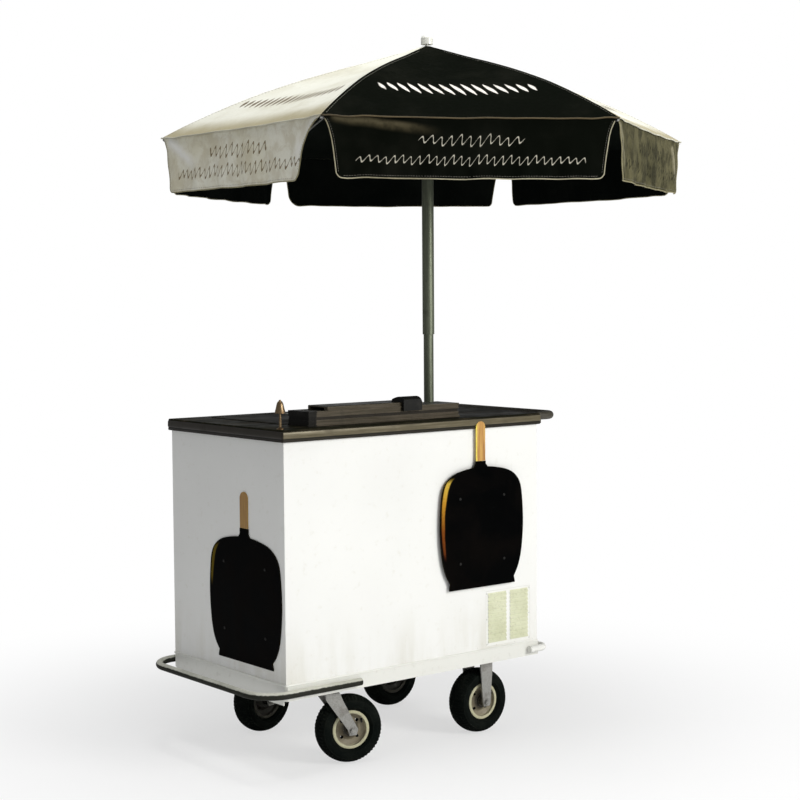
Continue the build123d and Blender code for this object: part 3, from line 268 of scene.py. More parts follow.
def plastic(name, colour, rough, grain, spec=0.5, dust_amount=0.10):
    """Grained plastic or rubber with a little dust and paler edges."""
    mat = Surface(name, rough=rough, spec=spec)
    grains = mat.noise(scale=grain, detail=3, rough=0.6)
    patch = mat.noise(scale=26, detail=5, rough=0.6)
    pale = shade(colour, gain=1.35, lift=0.004)
    mat.base(mat.mix(grains.fade(start=0.4, end=0.7), colour, pale))
    mat.layer(patch.fade(start=0.5, end=0.78), (0.35, 0.33, 0.30), dust_amount)
    mat.rub_edges(radius=0.001, colour=shade(colour, gain=2.2, lift=0.03), amount=0.25)
    mat.rough(patch.fade(start=0.3, end=0.8, out=(rough - 0.05, rough + 0.15)))
    mat.bump(grains, strength=0.22, distance=0.0005)


def brass_like(name, colour, rough):
    """Polished copper alloy, dulled in patches and spotted with tarnish."""
    mat = Surface(name, rough=rough, metal=1.0)
    patch = mat.noise(scale=60, detail=5, rough=0.6)
    tarnish = mat.noise(scale=190, rough=0.6)
    dull = (colour[0] * 0.62, colour[1] * 0.52, colour[2] * 0.45)
    mat.base(mat.mix(patch.fade(start=0.42, end=0.72), colour, dull))
    mat.layer(tarnish.fade(start=0.6, end=0.75), (0.16, 0.07, 0.03), amount=0.5)
    mat.rough(patch.fade(start=0.3, end=0.8, out=(rough, rough + 0.25)))
    mat.bump(tarnish, strength=0.08, distance=0.0004)


# ------------------------------------------------------------------ cloth
def wave_band(across, rise, taper, half_height, pitch, half_thick, phase):
    """Mask of a printed wavy line about rise = 0."""
    per_metre = 2 * math.pi / pitch
    slow_per_metre = 2 * math.pi / (pitch * 3.3)
    quick = ((across + rise * 0.45) * per_metre + phase).sine()
    slow = (across * slow_per_metre + phase * 1.7).sine()
    swing = (quick * half_height + slow * (half_height * 0.30)) * taper
    off_line = abs(rise - swing)
    thick = (1.25 + (across * per_metre).cosine() * 0.35) * half_thick
    return (off_line - thick).fade(start=0.0011, end=-0.0011)


def leaf_band(across, rise, taper, half_height, pitch, half_thick):
    """Mask of a printed row of slanted leaves about rise = 0."""
    run = (across + rise * 0.30) / pitch + 0.5
    in_cell = (run.fraction() - 0.5) * pitch
    up_leaf = rise / (taper * half_height)
    width = (1.0 - abs(up_leaf) ** 1.8) * half_thick
    leaf = (abs(in_cell) - width).fade(start=0.0012, end=-0.0012)
    return leaf * abs(up_leaf).fade(start=1.0, end=0.97)


def print_mask(across, off_hem, bands):
    """All printed bands of a cloth, each tapering towards its ends."""
    mask = None
    for band, centre, half_length, *sizes in bands:
        taper = 1.0 - (abs(across) / half_length) ** 2.0 * 0.45
        line = band(across, off_hem - centre, taper, *sizes)
        ends = abs(across).fade(start=half_length + 0.002, end=half_length - 0.002)
        line = line * ends
        mask = line if mask is None else mask.maximum(line)
    return mask


def fold_light(mat, across, off_hem, fold, width):
    """Mask of a drawn fold that catches the light, fading to its far end."""
    start_across, start_off, end_across, end_off = fold
    run, drop = end_across - start_across, end_off - start_off
    length = math.hypot(run, drop)
    from_across, from_off = across - start_across, off_hem - start_off
    along = (from_across * run + from_off * drop) / (length * length)
    beside = abs(from_across * drop - from_off * run) / length
    ends = along.fade(start=-0.02, end=0.06) * along.fade(start=1.02, end=0.55)
    broken = mat.noise(scale=34, rough=0.6).fade(start=0.25, end=0.60, out=(0.45, 1.0))
    return beside.fade(start=width, end=0.0) * ends * broken


def fabric(name, colour, soiled, rough, weave=950.0, sheen=0.05, spec=0.25, bands=(),
           band_colour=None, stain=None, hem=None, glints=()):
    """Coated plain-weave cloth with faint creases and soiling.

    The UV map holds metres across the cloth and off the hem. Optional parts:
    bands (see print_mask), stain (colour, amount), hem (painted shade: colour, height, amount),
    glints (fold, width, colour, amount).
    """
    mat = Surface(name, rough=rough, sheen=sheen, spec=spec)
    across, off_hem, _ = mat.axes(mat.add("ShaderNodeUVMap", {}, uv_map="UVMap"))
    threads = (across * (weave * 2)).sine() * (off_hem * (weave * 2)).sine()
    soil = mat.noise(scale=5.5, detail=6, rough=0.6)
    fine = mat.noise(scale=70, rough=0.6)
    mat.base(mat.mix(soil.fade(start=0.40, end=0.72), colour, soiled))
    mat.layer(fine.fade(start=0.5, end=0.75), shade(soiled, gain=0.72), amount=0.18)
    thread_colour = shade(colour, gain=1.3, lift=0.002)
    mat.layer(threads.fade(start=0.2, end=1.0), thread_colour, amount=0.10)
    if stain:
        blot = mat.noise(scale=19, detail=5, rough=0.65, distortion=0.5)
        mat.layer(blot.fade(start=0.40, end=0.62), *stain)
    # painted shade along the hem, where the cloth turns down
    if hem:
        hem_shade_colour, height, amount = hem
        ragged = off_hem + (mat.noise(scale=11, rough=0.6) - 0.5) * (height * 0.7)
        mat.layer(ragged.fade(start=height, end=height * 0.12), hem_shade_colour, amount)
    for fold, width, tone, amount in glints:
        mat.layer(fold_light(mat, across, off_hem, fold, width), tone, amount)
    if bands:
        worn = mat.noise(scale=90, rough=0.6).fade(start=0.30, end=0.50, out=(0.55, 0.95))
        mat.layer(print_mask(across, off_hem, bands) * worn, band_colour)
    mat.rough(fine.fade(start=0.3, end=0.8, out=(rough - 0.08, rough + 0.15)))
    weave_bump = mat.bump(threads * 0.5, strength=0.30, distance=0.00035)
    mat.bump(mat.noise(scale=26), strength=0.16, distance=0.004, after=weave_bump)


# ------------------------------------------------------------------ particular materials
def wood_board():
    """Golden board with long vertical grain."""
    mat = Surface("sign_wood", rough=0.42, coat=0.2)
    upright = mat.scaled(z=0.06)
    grain = mat.noise(scale=160, detail=6, rough=0.62, vector=upright, distortion=0.6)
    rings = mat.noise(scale=38, detail=3, rough=0.5, vector=upright)
    mat.base(mat.ramp(grain, (0.28, (0.24, 0.10, 0.025)), (0.46, (0.46, 0.22, 0.045)),
                      (0.62, (0.64, 0.37, 0.085)), (0.8, (0.76, 0.52, 0.15))))
    mat.layer(rings.fade(start=0.5, end=0.7), (0.38, 0.15, 0.04), amount=0.35)
    x = mat.axes()[0]
    # the front board's stick keeps a bright yellow left side; the end board's is darker brown
    left_side = x.fade(start=0.0080, end=0.0035) * x.fade(start=-0.05, end=-0.02)
    mat.layer(left_side, (0.90, 0.72, 0.10))
    mat.layer(x.fade(start=-0.5, end=-0.6, out=(0.0, 0.60)), (0.27, 0.145, 0.030))
    mat.rub_edges(radius=0.002, colour=(0.85, 0.66, 0.16), amount=0.4)
    mat.rough(grain.fade(start=0.3, end=0.7, out=(0.36, 0.55)))
    mat.bump(grain, strength=0.25, distance=0.0004)


# outline of a sign board: (height, half width) as fractions of the whole
BOARD_SIDE = ((0.0, 0.75), (0.055, 0.755), (0.17, 0.90), (0.34, 0.975), (0.52, 1.0),
              (0.72, 0.975), (0.86, 0.90), (0.935, 0.73), (0.98, 0.43), (1.0, 0.0))
STROKE_INSET = 0.0125
STROKE_TOP = 0.90


def board_stroke(mat, across, up, centre, half_width, foot, top, width, start):
    """Mask of a bowed stroke a set distance inside a board's left outline, and height 0..1."""
    height = (up - foot) / (top - foot)
    outline = mat.add("ShaderNodeFloatCurve", {"Value": height})
    mapping = outline.socket.node.mapping
    points = mapping.curves[0].points
    points[0].location = BOARD_SIDE[0]
    points[1].location = BOARD_SIDE[-1]
    for place in BOARD_SIDE[1:-1]:
        points.new(*place)
    mapping.update()
    left = (centre + STROKE_INSET) - outline * half_width
    wobble = (mat.noise(scale=24, detail=3) - 0.5) * 0.005
    off_line = abs(across - left) + wobble
    # broad in the shoulder, thin towards the foot
    wide = height.fade(start=start, end=0.85, out=(width * 0.55, width))
    line = (off_line - wide).fade(start=0.0022, end=-0.0022)
    ends = (height.fade(start=start, end=start + 0.10)
            * height.fade(start=STROKE_TOP + 0.03, end=STROKE_TOP - 0.03))
    return line * ends, height


def sign_paint():
    """Near-black gloss with a worn golden-brown stroke inside each board's left edge."""
    mat = Surface("sign_dark", rough=0.42, spec=0.011)
    x, y, z = mat.axes()
    uneven = mat.noise(scale=7, rough=0.5, distortion=0.8)
    fine = mat.noise(scale=140, rough=0.6)
    mat.base(mat.mix(uneven.fade(start=0.35, end=0.7),
                     (0.0007, 0.0009, 0.0010), (0.0026, 0.0020, 0.0017)))
    front, height = board_stroke(mat, x, z, centre=0.026, half_width=0.171, foot=0.480,
                                 top=0.854, width=0.0075, start=0.24)
    on_front = y.fade(start=-0.3040, end=-0.3080)
    end, _ = board_stroke(mat, y * -1.0, z, centre=0.0985, half_width=0.188, foot=0.312,
                          top=0.683, width=0.0070, start=0.55)
    hue = mat.ramp(height, (0.2, (0.085, 0.018, 0.008)), (0.5, (0.22, 0.062, 0.010)),
                   (0.72, (0.52, 0.25, 0.025)), (0.88, (0.68, 0.46, 0.07)))
    worn = fine.fade(start=0.25, end=0.55, out=(0.65, 0.95))
    mat.layer(front * on_front * worn, hue)
    mat.layer(end * (1.0 - on_front), (0.15, 0.105, 0.010), amount=0.8)
    mat.rub_edges(radius=0.0016, colour=(0.10, 0.08, 0.02), amount=0.35)
    mat.rough(uneven.fade(start=0.3, end=0.7, out=(0.28, 0.46)))
    mat.bump(uneven, strength=0.30, distance=0.004)


def counter_laminate():
    """Dark brown laminate: fine mottled figure, scuffed, paler at the edges."""
    mat = Surface("counter_laminate", rough=0.62, spec=0.015)
    figure = mat.noise(scale=14, detail=6, rough=0.62, vector=mat.scaled(x=0.35, y=1.6),
                       distortion=0.5)
    fine = mat.noise(scale=120, rough=0.6, vector=mat.scaled(x=0.5, y=1.8))
    mat.base(mat.ramp(figure, (0.30, (0.0045, 0.0050, 0.0025)),
                      (0.5, (0.0110, 0.0110, 0.0055)), (0.70, (0.040, 0.032, 0.020))))
    mat.layer(fine.fade(start=0.52, end=0.76), (0.085, 0.068, 0.045), amount=0.25)
    scuff = mat.noise(scale=6, detail=5, rough=0.7)
    mat.layer(scuff.fade(start=0.56, end=0.78), (0.075, 0.060, 0.040), amount=0.20)
    mat.rub_edges(radius=0.002, colour=(0.15, 0.105, 0.075), amount=0.35)
    mat.rough(scuff.fade(start=0.35, end=0.75, out=(0.34, 0.6)))
    mat.bump(fine, strength=0.12, distance=0.0004)


def edge_trim():
    """Bronze-tinted metal edging on the counter: lit band over a lip painted dark as shade, and
    its -x end painted black as shade.
    """
    mat = Surface("counter_edge_trim", rough=0.50, metal=0.15, spec=0.25)
    x, _, z = mat.axes()
    streak = mat.noise(scale=170, rough=0.65, vector=mat.scaled(x=0.05, y=0.05))
    patch = mat.noise(scale=15, detail=5, rough=0.6)
    mat.base(mat.mix(streak.fade(start=0.35, end=0.68),
                     (0.105, 0.088, 0.050), (0.175, 0.150, 0.095)))
    mat.layer(patch.fade(start=0.45, end=0.75), (0.060, 0.050, 0.028), amount=0.5)
    # dark lip along the foot as painted shade, and a thin dark line at the top
    mat.layer(z.fade(start=0.9835, end=0.9815), (0.010, 0.009, 0.006), amount=0.93)
    mat.layer(z.fade(start=0.9995, end=1.0010), (0.014, 0.011, 0.008), amount=0.90)
    # the end above the swivel casters is painted black as shade
    mat.layer(x.fade(start=-0.7145, end=-0.7165), (0.018, 0.015, 0.012), amount=0.92)
    mat.rough(patch.fade(start=0.3, end=0.8, out=(0.3, 0.55)))
    mat.bump(streak, strength=0.12, distance=0.0004)


def box_metal():
    """Brown anodised box: brushed along its length, black at its -x end."""
    mat = Surface("box_metal", rough=0.50, metal=0.15, spec=0.18)
    x, _, z = mat.axes()
    streak = mat.noise(scale=180, rough=0.7, vector=mat.scaled(x=0.04))
    patch = mat.noise(scale=19, detail=5, rough=0.6)
    mat.base(mat.mix(streak.fade(start=0.35, end=0.68),
                     (0.060, 0.050, 0.032), (0.115, 0.094, 0.068)))
    mat.layer(patch.fade(start=0.5, end=0.76), (0.030, 0.026, 0.016), amount=0.5)
    # painted shade in the groove band
    groove = z.window(low=1.0235, high=1.0335, soft=0.001)
    mat.layer(groove, (0.016, 0.013, 0.009), amount=0.85)
    # lids and ledges that face up are darker
    mat.layer(mat.upward().fade(start=0.55, end=0.85), (0.012, 0.013, 0.006), amount=0.85)
    mat.rub_edges(radius=0.0016, colour=(0.22, 0.19, 0.13), amount=0.22)
    ragged = x + mat.noise(scale=30, detail=3) * 0.012
    mat.layer(ragged.fade(start=-0.5470, end=-0.5530), (0.006, 0.0055, 0.004), amount=0.96)
    mat.rough(patch.fade(start=0.3, end=0.8, out=(0.28, 0.52)))
    mat.bump(streak, strength=0.14, distance=0.0004)


def tyre_rubber():
    """Road-worn rubber: dusty patches, scuffed shoulders, fine mould grain."""
    mat = Surface("tyre_rubber", rough=0.82, spec=0.04)
    dust = mat.noise(scale=22, detail=6, rough=0.65)
    fine = mat.noise(scale=260, rough=0.6)
    mat.base(mat.mix(dust.fade(start=0.42, end=0.72),
                     (0.0026, 0.0042, 0.0034), (0.0080, 0.0098, 0.0080)))
    mat.layer(fine.fade(start=0.55, end=0.75), (0.044, 0.044, 0.036), amount=0.16)
    mat.rub_edges(radius=0.0014, colour=(0.044, 0.044, 0.037), amount=0.26)
    mat.rough(dust.fade(start=0.3, end=0.8, out=(0.62, 0.86)))
    mat.bump(fine, strength=0.35, distance=0.0006)


def hub_paint(wheel):
    """Wheel disc: cream rim ring, dull dish, dark centre, and painted shade on the side under the
    cart.
    """
    mat = Surface("hub_paint_" + wheel, rough=0.50, coat=0.04, spec=0.25)
    inboard = -1.0 if "front" in wheel else 1.0
    centre = tuple(box_centre("rim_" + wheel))
    arm = mat.vector_math("SUBTRACT", {0: mat.place, 1: centre}, output=0)
    along = mat.vector_math("DOT_PRODUCT", {0: arm, 1: tuple(wheel_face(wheel))})
    full = mat.vector_math("LENGTH", {0: arm})
    radius = (full ** 2.0 - along ** 2.0).maximum(0.0).sqrt()
    patch = mat.noise(scale=30, detail=5, rough=0.62)
    fine = mat.noise(scale=150, rough=0.6)
    ragged = radius + (patch - 0.5) * 0.010
    mat.base(mat.mix(ragged.fade(start=0.046, end=0.051),
                     (0.27, 0.235, 0.165), (0.56, 0.54, 0.36)))
    mat.layer(ragged.fade(start=0.034, end=0.019), (0.030, 0.026, 0.018))
    mat.layer(fine.fade(start=0.52, end=0.74), (0.14, 0.10, 0.055), amount=0.35)
    mat.rub_edges(radius=0.0014, colour=(0.62, 0.60, 0.46), amount=0.5)
    # painted shade: the side of the disc that faces under the cart is darkened
    under = along * inboard + (fine - 0.5) * 0.006
    under_cart_shade = mat.mix(patch.fade(start=0.35, end=0.7),
                   (0.0085, 0.0080, 0.0065), (0.024, 0.022, 0.017))
    mat.layer(under.fade(start=0.0005, end=0.0035), under_cart_shade, amount=0.96)
    mat.rough(patch.fade(start=0.3, end=0.8, out=(0.40, 0.66)))
    mat.bump(fine, strength=0.12, distance=0.0004)


def foam():
    """Yellow cellular foam with browner patches."""
    mat = Surface("foam_yellow", rough=0.85)
    mat.base(mat.mix(mat.cells(scale=240).fade(start=0.1, end=0.5),
                     (0.72, 0.60, 0.30), (0.90, 0.82, 0.55)))
    aged = mat.noise(scale=9, detail=5).fade(start=0.45, end=0.75)
    mat.layer(aged, (0.62, 0.46, 0.2), amount=0.4)
    mat.bump(mat.cells(scale=240), strength=0.5, distance=0.001)


def bumper_paint():
    """Silver-grey tube, with painted light turning it white at the handle end and painted shade
    underneath.
    """
    mat = Surface("bumper_paint", rough=0.50, spec=0.03)
    x = mat.axes()[0]
    big = mat.noise(scale=11)
    fine = mat.noise(scale=90, rough=0.6)
    mat.base(mat.mix(big.fade(start=0.35, end=0.7), (0.50, 0.50, 0.43), (0.66, 0.66, 0.58)))
    # painted light: the tube turns white towards the handle end
    mat.layer(x.fade(start=-0.1, end=0.1), (0.86, 0.86, 0.82))
    ragged = mat.upward() + (fine - 0.5) * 0.5
    mat.layer(fine.fade(start=0.56, end=0.75), (0.25, 0.23, 0.17), amount=0.3)
    mat.rub_edges(radius=0.0014, colour=(0.25, 0.24, 0.20), amount=0.4)
    # painted shade on the underside, left out at the lit handle end
    underside_shade = ragged.fade(start=0.62, end=0.36) * x.fade(start=0.1, end=-0.1)
    mat.layer(underside_shade, (0.0060, 0.0068, 0.0040), amount=0.96)
    mat.rough(big.fade(start=0.3, end=0.8, out=(0.34, 0.58)))
    mat.orange_peel()


def louvre_paint():
    """White panel whose pressed slats have yellowed; their lips are darker, with dust on those
    that face up and painted shade under those that face down.
    """
    mat = Surface("louvre_enamel", rough=0.45, coat=0.06, spec=0.4)
    x, y, z = mat.axes()
    big = mat.noise(scale=8)
    fine = mat.noise(scale=110, rough=0.6)
    drift = {"start": 0.35, "end": 0.7}
    mat.base(mat.mix(big.fade(**drift), (0.90, 0.90, 0.87), (0.86, 0.86, 0.81)))
    aged = mat.mix(big.fade(**drift), (0.78, 0.80, 0.57), (0.64, 0.66, 0.43))
    aged = mat.mix(fine.fade(start=0.50, end=0.74) * 0.55, aged, (0.44, 0.44, 0.26))
    # two columns of slats, at one height on the front and another on the back
    first = x.window(low=0.0570, high=0.1360, soft=0.003)
    second = x.window(low=0.1490, high=0.2280, soft=0.003)
    front_rows = z.window(low=0.2950, high=0.4550, soft=0.003)
    back_rows = z.window(low=0.3425, high=0.4990, soft=0.003)
    rows = mat.mix(y.fade(start=-0.01, end=0.01), front_rows, back_rows)
    slats = first.maximum(second) * rows
    mat.layer(slats, aged, amount=0.92)
    # lips: dust on faces that look up, painted shade on faces that look down
    lips = abs(mat.upward()).fade(start=0.25, end=0.85) * slats
    mat.layer(lips, (0.36, 0.36, 0.22), amount=0.5)
    mat.rub_edges(radius=0.0016, colour=(0.60, 0.60, 0.46), amount=0.30)
    mat.rough(fine.fade(start=0.3, end=0.75, out=(0.38, 0.60)))
    mat.orange_peel()


# ------------------------------------------------------------------ materials in order
painted("white_enamel", (0.90, 0.90, 0.875), (0.60, 0.57, 0.46), rough=0.42, coat=0.10,
        grime=(0.285, 0.50), wear=(0.80, 0.79, 0.74))
louvre_paint()
painted("chassis_paint", (0.82, 0.82, 0.77), (0.36, 0.33, 0.26), rough=0.45, coat=0.08,
        wear=(0.95, 0.93, 0.78), wear_amount=0.8)
bumper_paint()
counter_laminate()
edge_trim()
box_metal()
plastic("black_plastic", (0.0060, 0.0060, 0.0050), rough=0.50, grain=900, spec=0.18,
        dust_amount=0.05)
painted("handle_enamel", (0.042, 0.036, 0.022), (0.085, 0.070, 0.046), rough=0.46, coat=0.04,
        wear=(0.22, 0.19, 0.13))
metal("zinc_steel", (0.36, 0.355, 0.335), rough=0.44, grime=(0.13, 0.11, 0.09),
      grime_amount=0.55, metallic=0.7)
metal("bolt_steel", (0.42, 0.42, 0.40), rough=0.34, grime=(0.10, 0.07, 0.04),
      grime_amount=0.55)
tyre_rubber()
plastic("seal_rubber", (0.012, 0.012, 0.012), rough=0.7, grain=500, spec=0.2)
brass_like("bell_brass", (0.23, 0.165, 0.095), rough=0.34)
sign_paint()
wood_board()
metal("pole_metal", (0.165, 0.182, 0.130), rough=0.42, streak=0.03,
      grime=(0.055, 0.05, 0.04), metallic=0.75)
metal("rib_steel", (0.44, 0.44, 0.42), rough=0.36)
foam()
metal("liner_aluminium", (0.80, 0.81, 0.82), rough=0.42, streak=0.05,
      grime=(0.45, 0.46, 0.47), grime_amount=0.3)
brass_like("copper_tube", (0.78, 0.38, 0.24), rough=0.3)
painted("finial_white", (0.80, 0.80, 0.74), (0.35, 0.33, 0.27), rough=0.35, coat=0.3)
for cord_name, cord_colour, cord_soiled, cord_rough in (
        ("cord_light", (0.42, 0.39, 0.27), (0.25, 0.22, 0.13), 0.5),
        ("cord_olive", (0.30, 0.27, 0.15), (0.18, 0.16, 0.08), 0.5),
        ("cord_hem_dark", (0.085, 0.062, 0.026), (0.045, 0.034, 0.016), 0.55),
        ("cord_hem_white", (0.60, 0.58, 0.47), (0.44, 0.42, 0.32), 0.55)):
    fabric(cord_name, cord_colour, cord_soiled, rough=cord_rough, weave=1400)
plastic("seam_thread", (0.20, 0.19, 0.16), rough=0.7, grain=1500)
fabric("canopy_lining", (0.0040, 0.0055, 0.0045), (0.0080, 0.0095, 0.0078), rough=0.80,
       sheen=0.0, spec=0.01)

# drawn folds in the valance: start (across, below the hem), then end
FRONT_FOLD = (-0.395, 0.003, -0.080, 0.040)
FRONT_LOW_FOLD = (-0.395, 0.003, -0.120, 0.026)
END_FOLD = (-0.385, 0.004, -0.215, 0.105)
SIDE_FOLDS = ((-0.40, 0.010, -0.330, 0.150), (0.30, 0.020, 0.345, 0.150))

# printed bands: shape, centre off the hem, half length, half height, pitch, half thickness
# and, for a wave, its phase
BLACK_GORE_BANDS = [(leaf_band, 0.238, 0.230, 0.054, 0.032, 0.0080)]
WHITE_GORE_BANDS = [(leaf_band, 0.225, 0.262, 0.050, 0.031, 0.0098)]
BLACK_FLAP_BANDS = [(wave_band, 0.062, 0.150, 0.0135, 0.0270, 0.0013, 0.4),
                    (wave_band, 0.117, 0.325, 0.0115, 0.0235, 0.0014, 1.3)]
WHITE_FLAP_BANDS = [(wave_band, 0.060, 0.150, 0.0170, 0.0290, 0.0030, 0.4),
                    (wave_band, 0.117, 0.330, 0.0150, 0.0250, 0.0030, 1.3)]
BLACK_CLOTH = ((0.0028, 0.0036, 0.0023), (0.0068, 0.0074, 0.0052))
BLACK_FLAP = {"bands": BLACK_FLAP_BANDS, "band_colour": (0.60, 0.57, 0.47), "rough": 0.66,
              "sheen": 0.0, "spec": 0.010}

fabric("canopy_black", *BLACK_CLOTH, bands=BLACK_GORE_BANDS, band_colour=(0.78, 0.74, 0.68),
       rough=0.72, sheen=0.0, spec=0.004)
# the white gores' hem layer is painted shade where the cloth turns down
fabric("canopy_white", (0.755, 0.75, 0.66), (0.63, 0.61, 0.50), bands=WHITE_GORE_BANDS,
       band_colour=(0.115, 0.078, 0.036), rough=0.58, sheen=0.02, spec=0.2,
       hem=((0.34, 0.295, 0.165), 0.115, 0.88))
fabric("valance_black", *BLACK_CLOTH, **BLACK_FLAP)
fabric("valance_white", (0.93, 0.91, 0.78), (0.84, 0.80, 0.62), bands=WHITE_FLAP_BANDS,
       band_colour=(0.200, 0.140, 0.060), rough=0.60, sheen=0.0, spec=0.15,
       stain=((0.52, 0.44, 0.27), 0.38),
       glints=((END_FOLD, 0.030, (0.98, 0.97, 0.92), 0.90),
               ((0.410, 0.010, 0.255, 0.150), 0.060, (0.98, 0.97, 0.90), 0.90)))
# painted shade: this white flap's cloth is coloured dark olive, as the flap hangs in shade
fabric("valance_white_painted_shade", (0.120, 0.110, 0.058), (0.058, 0.054, 0.026),
       bands=WHITE_FLAP_BANDS, band_colour=(0.016, 0.015, 0.008), rough=0.66, sheen=0.0,
       spec=0.08, stain=((0.022, 0.021, 0.011), 0.70),
       glints=((SIDE_FOLDS[0], 0.020, (0.30, 0.28, 0.19), 0.6),
               (SIDE_FOLDS[1], 0.028, (0.36, 0.33, 0.23), 0.7)))
fabric("valance_black_front", *BLACK_CLOTH, **BLACK_FLAP,
       glints=((FRONT_FOLD, 0.0200, (0.080, 0.067, 0.038), 0.80),
               (FRONT_LOW_FOLD, 0.0110, (0.115, 0.098, 0.058), 0.55)))
for wheel_name in WHEEL_TURN:
    hub_paint(wheel_name)

# CAD pieces that wear each material
PIECES = {
    "white_enamel": "outer_skin",
    "louvre_enamel": "louvre_panels",
    "chassis_paint": "chassis_frame",
    "bumper_paint": "bumper_tubes",
    "counter_laminate": "countertop freezer_lid",
    "box_metal": "supply_box box_lid_upper box_lid_lower",
    "black_plastic": "lid_grip umbrella_runner fan_blade compressor",
    "zinc_steel": "lid_pull lid_hinges umbrella_socket condenser swivel_plates "
                  "swivel_fork_front swivel_fork_rear rigid_forks",
    "seal_rubber": "lid_gasket",
    "bell_brass": "service_bell",
    "handle_enamel": "push_handle",
    "bolt_steel": "caster_bolts",
    **{"hub_paint_" + wheel: "rim_" + wheel for wheel in WHEEL_TURN},
    "tyre_rubber": " ".join("tyre_" + wheel for wheel in WHEEL_TURN),
    "sign_dark": "sign_bars",
    "sign_wood": "sign_sticks",
    "pole_metal": "pole_lower pole_upper",
    "finial_white": "umbrella_crown",
    "foam_yellow": "foam_insulation",
    "liner_aluminium": "freezer_liner",
    "copper_tube": "evaporator_tube",
    "rib_steel": " ".join(f"rib_{k} stretcher_{k}" for k in range(1, 7)),
}
for material_name, piece_names in PIECES.items():
    for piece in piece_names.split():
        slots = nodes[piece].data.materials
        slots.clear()
        slots.append(MATERIALS[material_name])


# ------------------------------------------------------------------ mesh kit
UP = np.array([0.0, 0.0, 1.0])


def unit(vector):
    return vector / np.linalg.norm(vector)


def mesh_object(name, verts, faces, materials, uvs, slots=None, sharp_angle=38.0):
    """A smooth-shaded object, sharp where faces meet at more than sharp_angle degrees."""
    mesh = bpy.data.meshes.new(name)
    mesh.from_pydata([tuple(map(float, vert)) for vert in verts], [], faces)
    mesh.validate(verbose=False)
    for material in materials:
        mesh.materials.append(MATERIALS[material])
    if slots is not None:
        mesh.polygons.foreach_set("material_index", np.array(slots, np.int32))
    layer = mesh.uv_layers.new(name="UVMap")
    loop_verts = np.zeros(len(mesh.loops), np.int32)
    mesh.loops.foreach_get("vertex_index", loop_verts)
    layer.data.foreach_set("uv", np.asarray(uvs, np.float32)[loop_verts].ravel())
    mesh.polygons.foreach_set("use_smooth", np.ones(len(mesh.polygons), bool))
    mesh.update()
    mesh.set_sharp_from_angle(angle=math.radians(sharp_angle))
    mesh.update()
    obj = bpy.data.objects.new(name, mesh)
    bpy.context.scene.collection.objects.link(obj)
    return obj


def ring_faces(rings, sides, wrap=True, flip=False):
    """Quads between neighbouring rings of points; wrap joins the last ring to the first."""
    faces = []
    for i in range(rings if wrap else rings - 1):
        j = (i + 1) % rings
        for k in range(sides):
            after = (k + 1) % sides
            low, high = (k, after) if not flip else (after, k)
            quad = (i * sides + low, i * sides + high, j * sides + high, j * sides + low)
            # a flipped quad still starts at corner k
            faces.append(quad if not flip else (*quad[1:], quad[0]))
    return faces


def sheet(grid, normal, thick, toward):
    """Closed thin shell on a grid of points, outer side facing `toward`.

    Returns the points, the faces and a slot per face: 1 inside, 0 outside and on the rim."""
    rows, columns = grid.shape[:2]
    verts = np.concatenate([grid.reshape(-1, 3), (grid - normal * thick).reshape(-1, 3)])
    index = np.arange(rows * columns).reshape(rows, columns)
    inner = rows * columns
    faces, slots = [], []
    for i in range(rows - 1):
        for j in range(columns - 1):
            a, b = index[i, j], index[i, j + 1]
            c, d = index[i + 1, j + 1], index[i + 1, j]
            faces += [(a, b, c, d), (a + inner, d + inner, c + inner, b + inner)]
            slots += [0, 1]
    for line in (index[0, :], index[:, -1], index[-1, ::-1], index[::-1, 0]):
        for a, b in zip(line[:-1], line[1:]):
            faces.append((b, a, a + inner, b + inner))
            slots.append(0)
    a, b, c = (verts[i] for i in faces[0][:3])
    if np.cross(b - a, c - a) @ toward < 0:
        faces = [face[::-1] for face in faces]
    return verts, faces, slots


def tube(points, radius, sides):
    """Swept round cord along a polyline, with capped ends."""
    points = np.asarray(points, float)
    count = len(points)
    tangents = np.zeros_like(points)
    tangents[1:-1] = points[2:] - points[:-2]
    tangents[0], tangents[-1] = points[1] - points[0], points[-1] - points[-2]
    tangents /= np.linalg.norm(tangents, axis=1)[:, None]
    reference = UP if abs(tangents[0][2]) < 0.9 else np.array([1.0, 0.0, 0.0])
    side = unit(np.cross(tangents[0], reference))
    verts = []
    for point, tangent in zip(points, tangents):
        side = unit(side - tangent * (side @ tangent))
        up = np.cross(tangent, side)
        for k in range(sides):
            angle = 2 * math.pi * k / sides
            verts.append(point + radius * (math.cos(angle) * side + math.sin(angle) * up))
    faces = ring_faces(count, sides, wrap=False)
    faces.append(tuple(range(sides))[::-1])
    faces.append(tuple((count - 1) * sides + k for k in range(sides)))
    return verts, faces


def spin(centre, axis, start, radius, height):
    """Points at a radius and height about an axis; each row of the tables is one even turn."""
    start = unit(start - axis * (start @ axis))
    side = np.cross(axis, start)
    turns = len(radius)
    angle = (np.arange(turns) * 2 * math.pi / turns)[:, None, None]
    spoke = np.cos(angle) * start + np.sin(angle) * side
    return centre + spoke * radius[..., None] + axis * height[..., None]


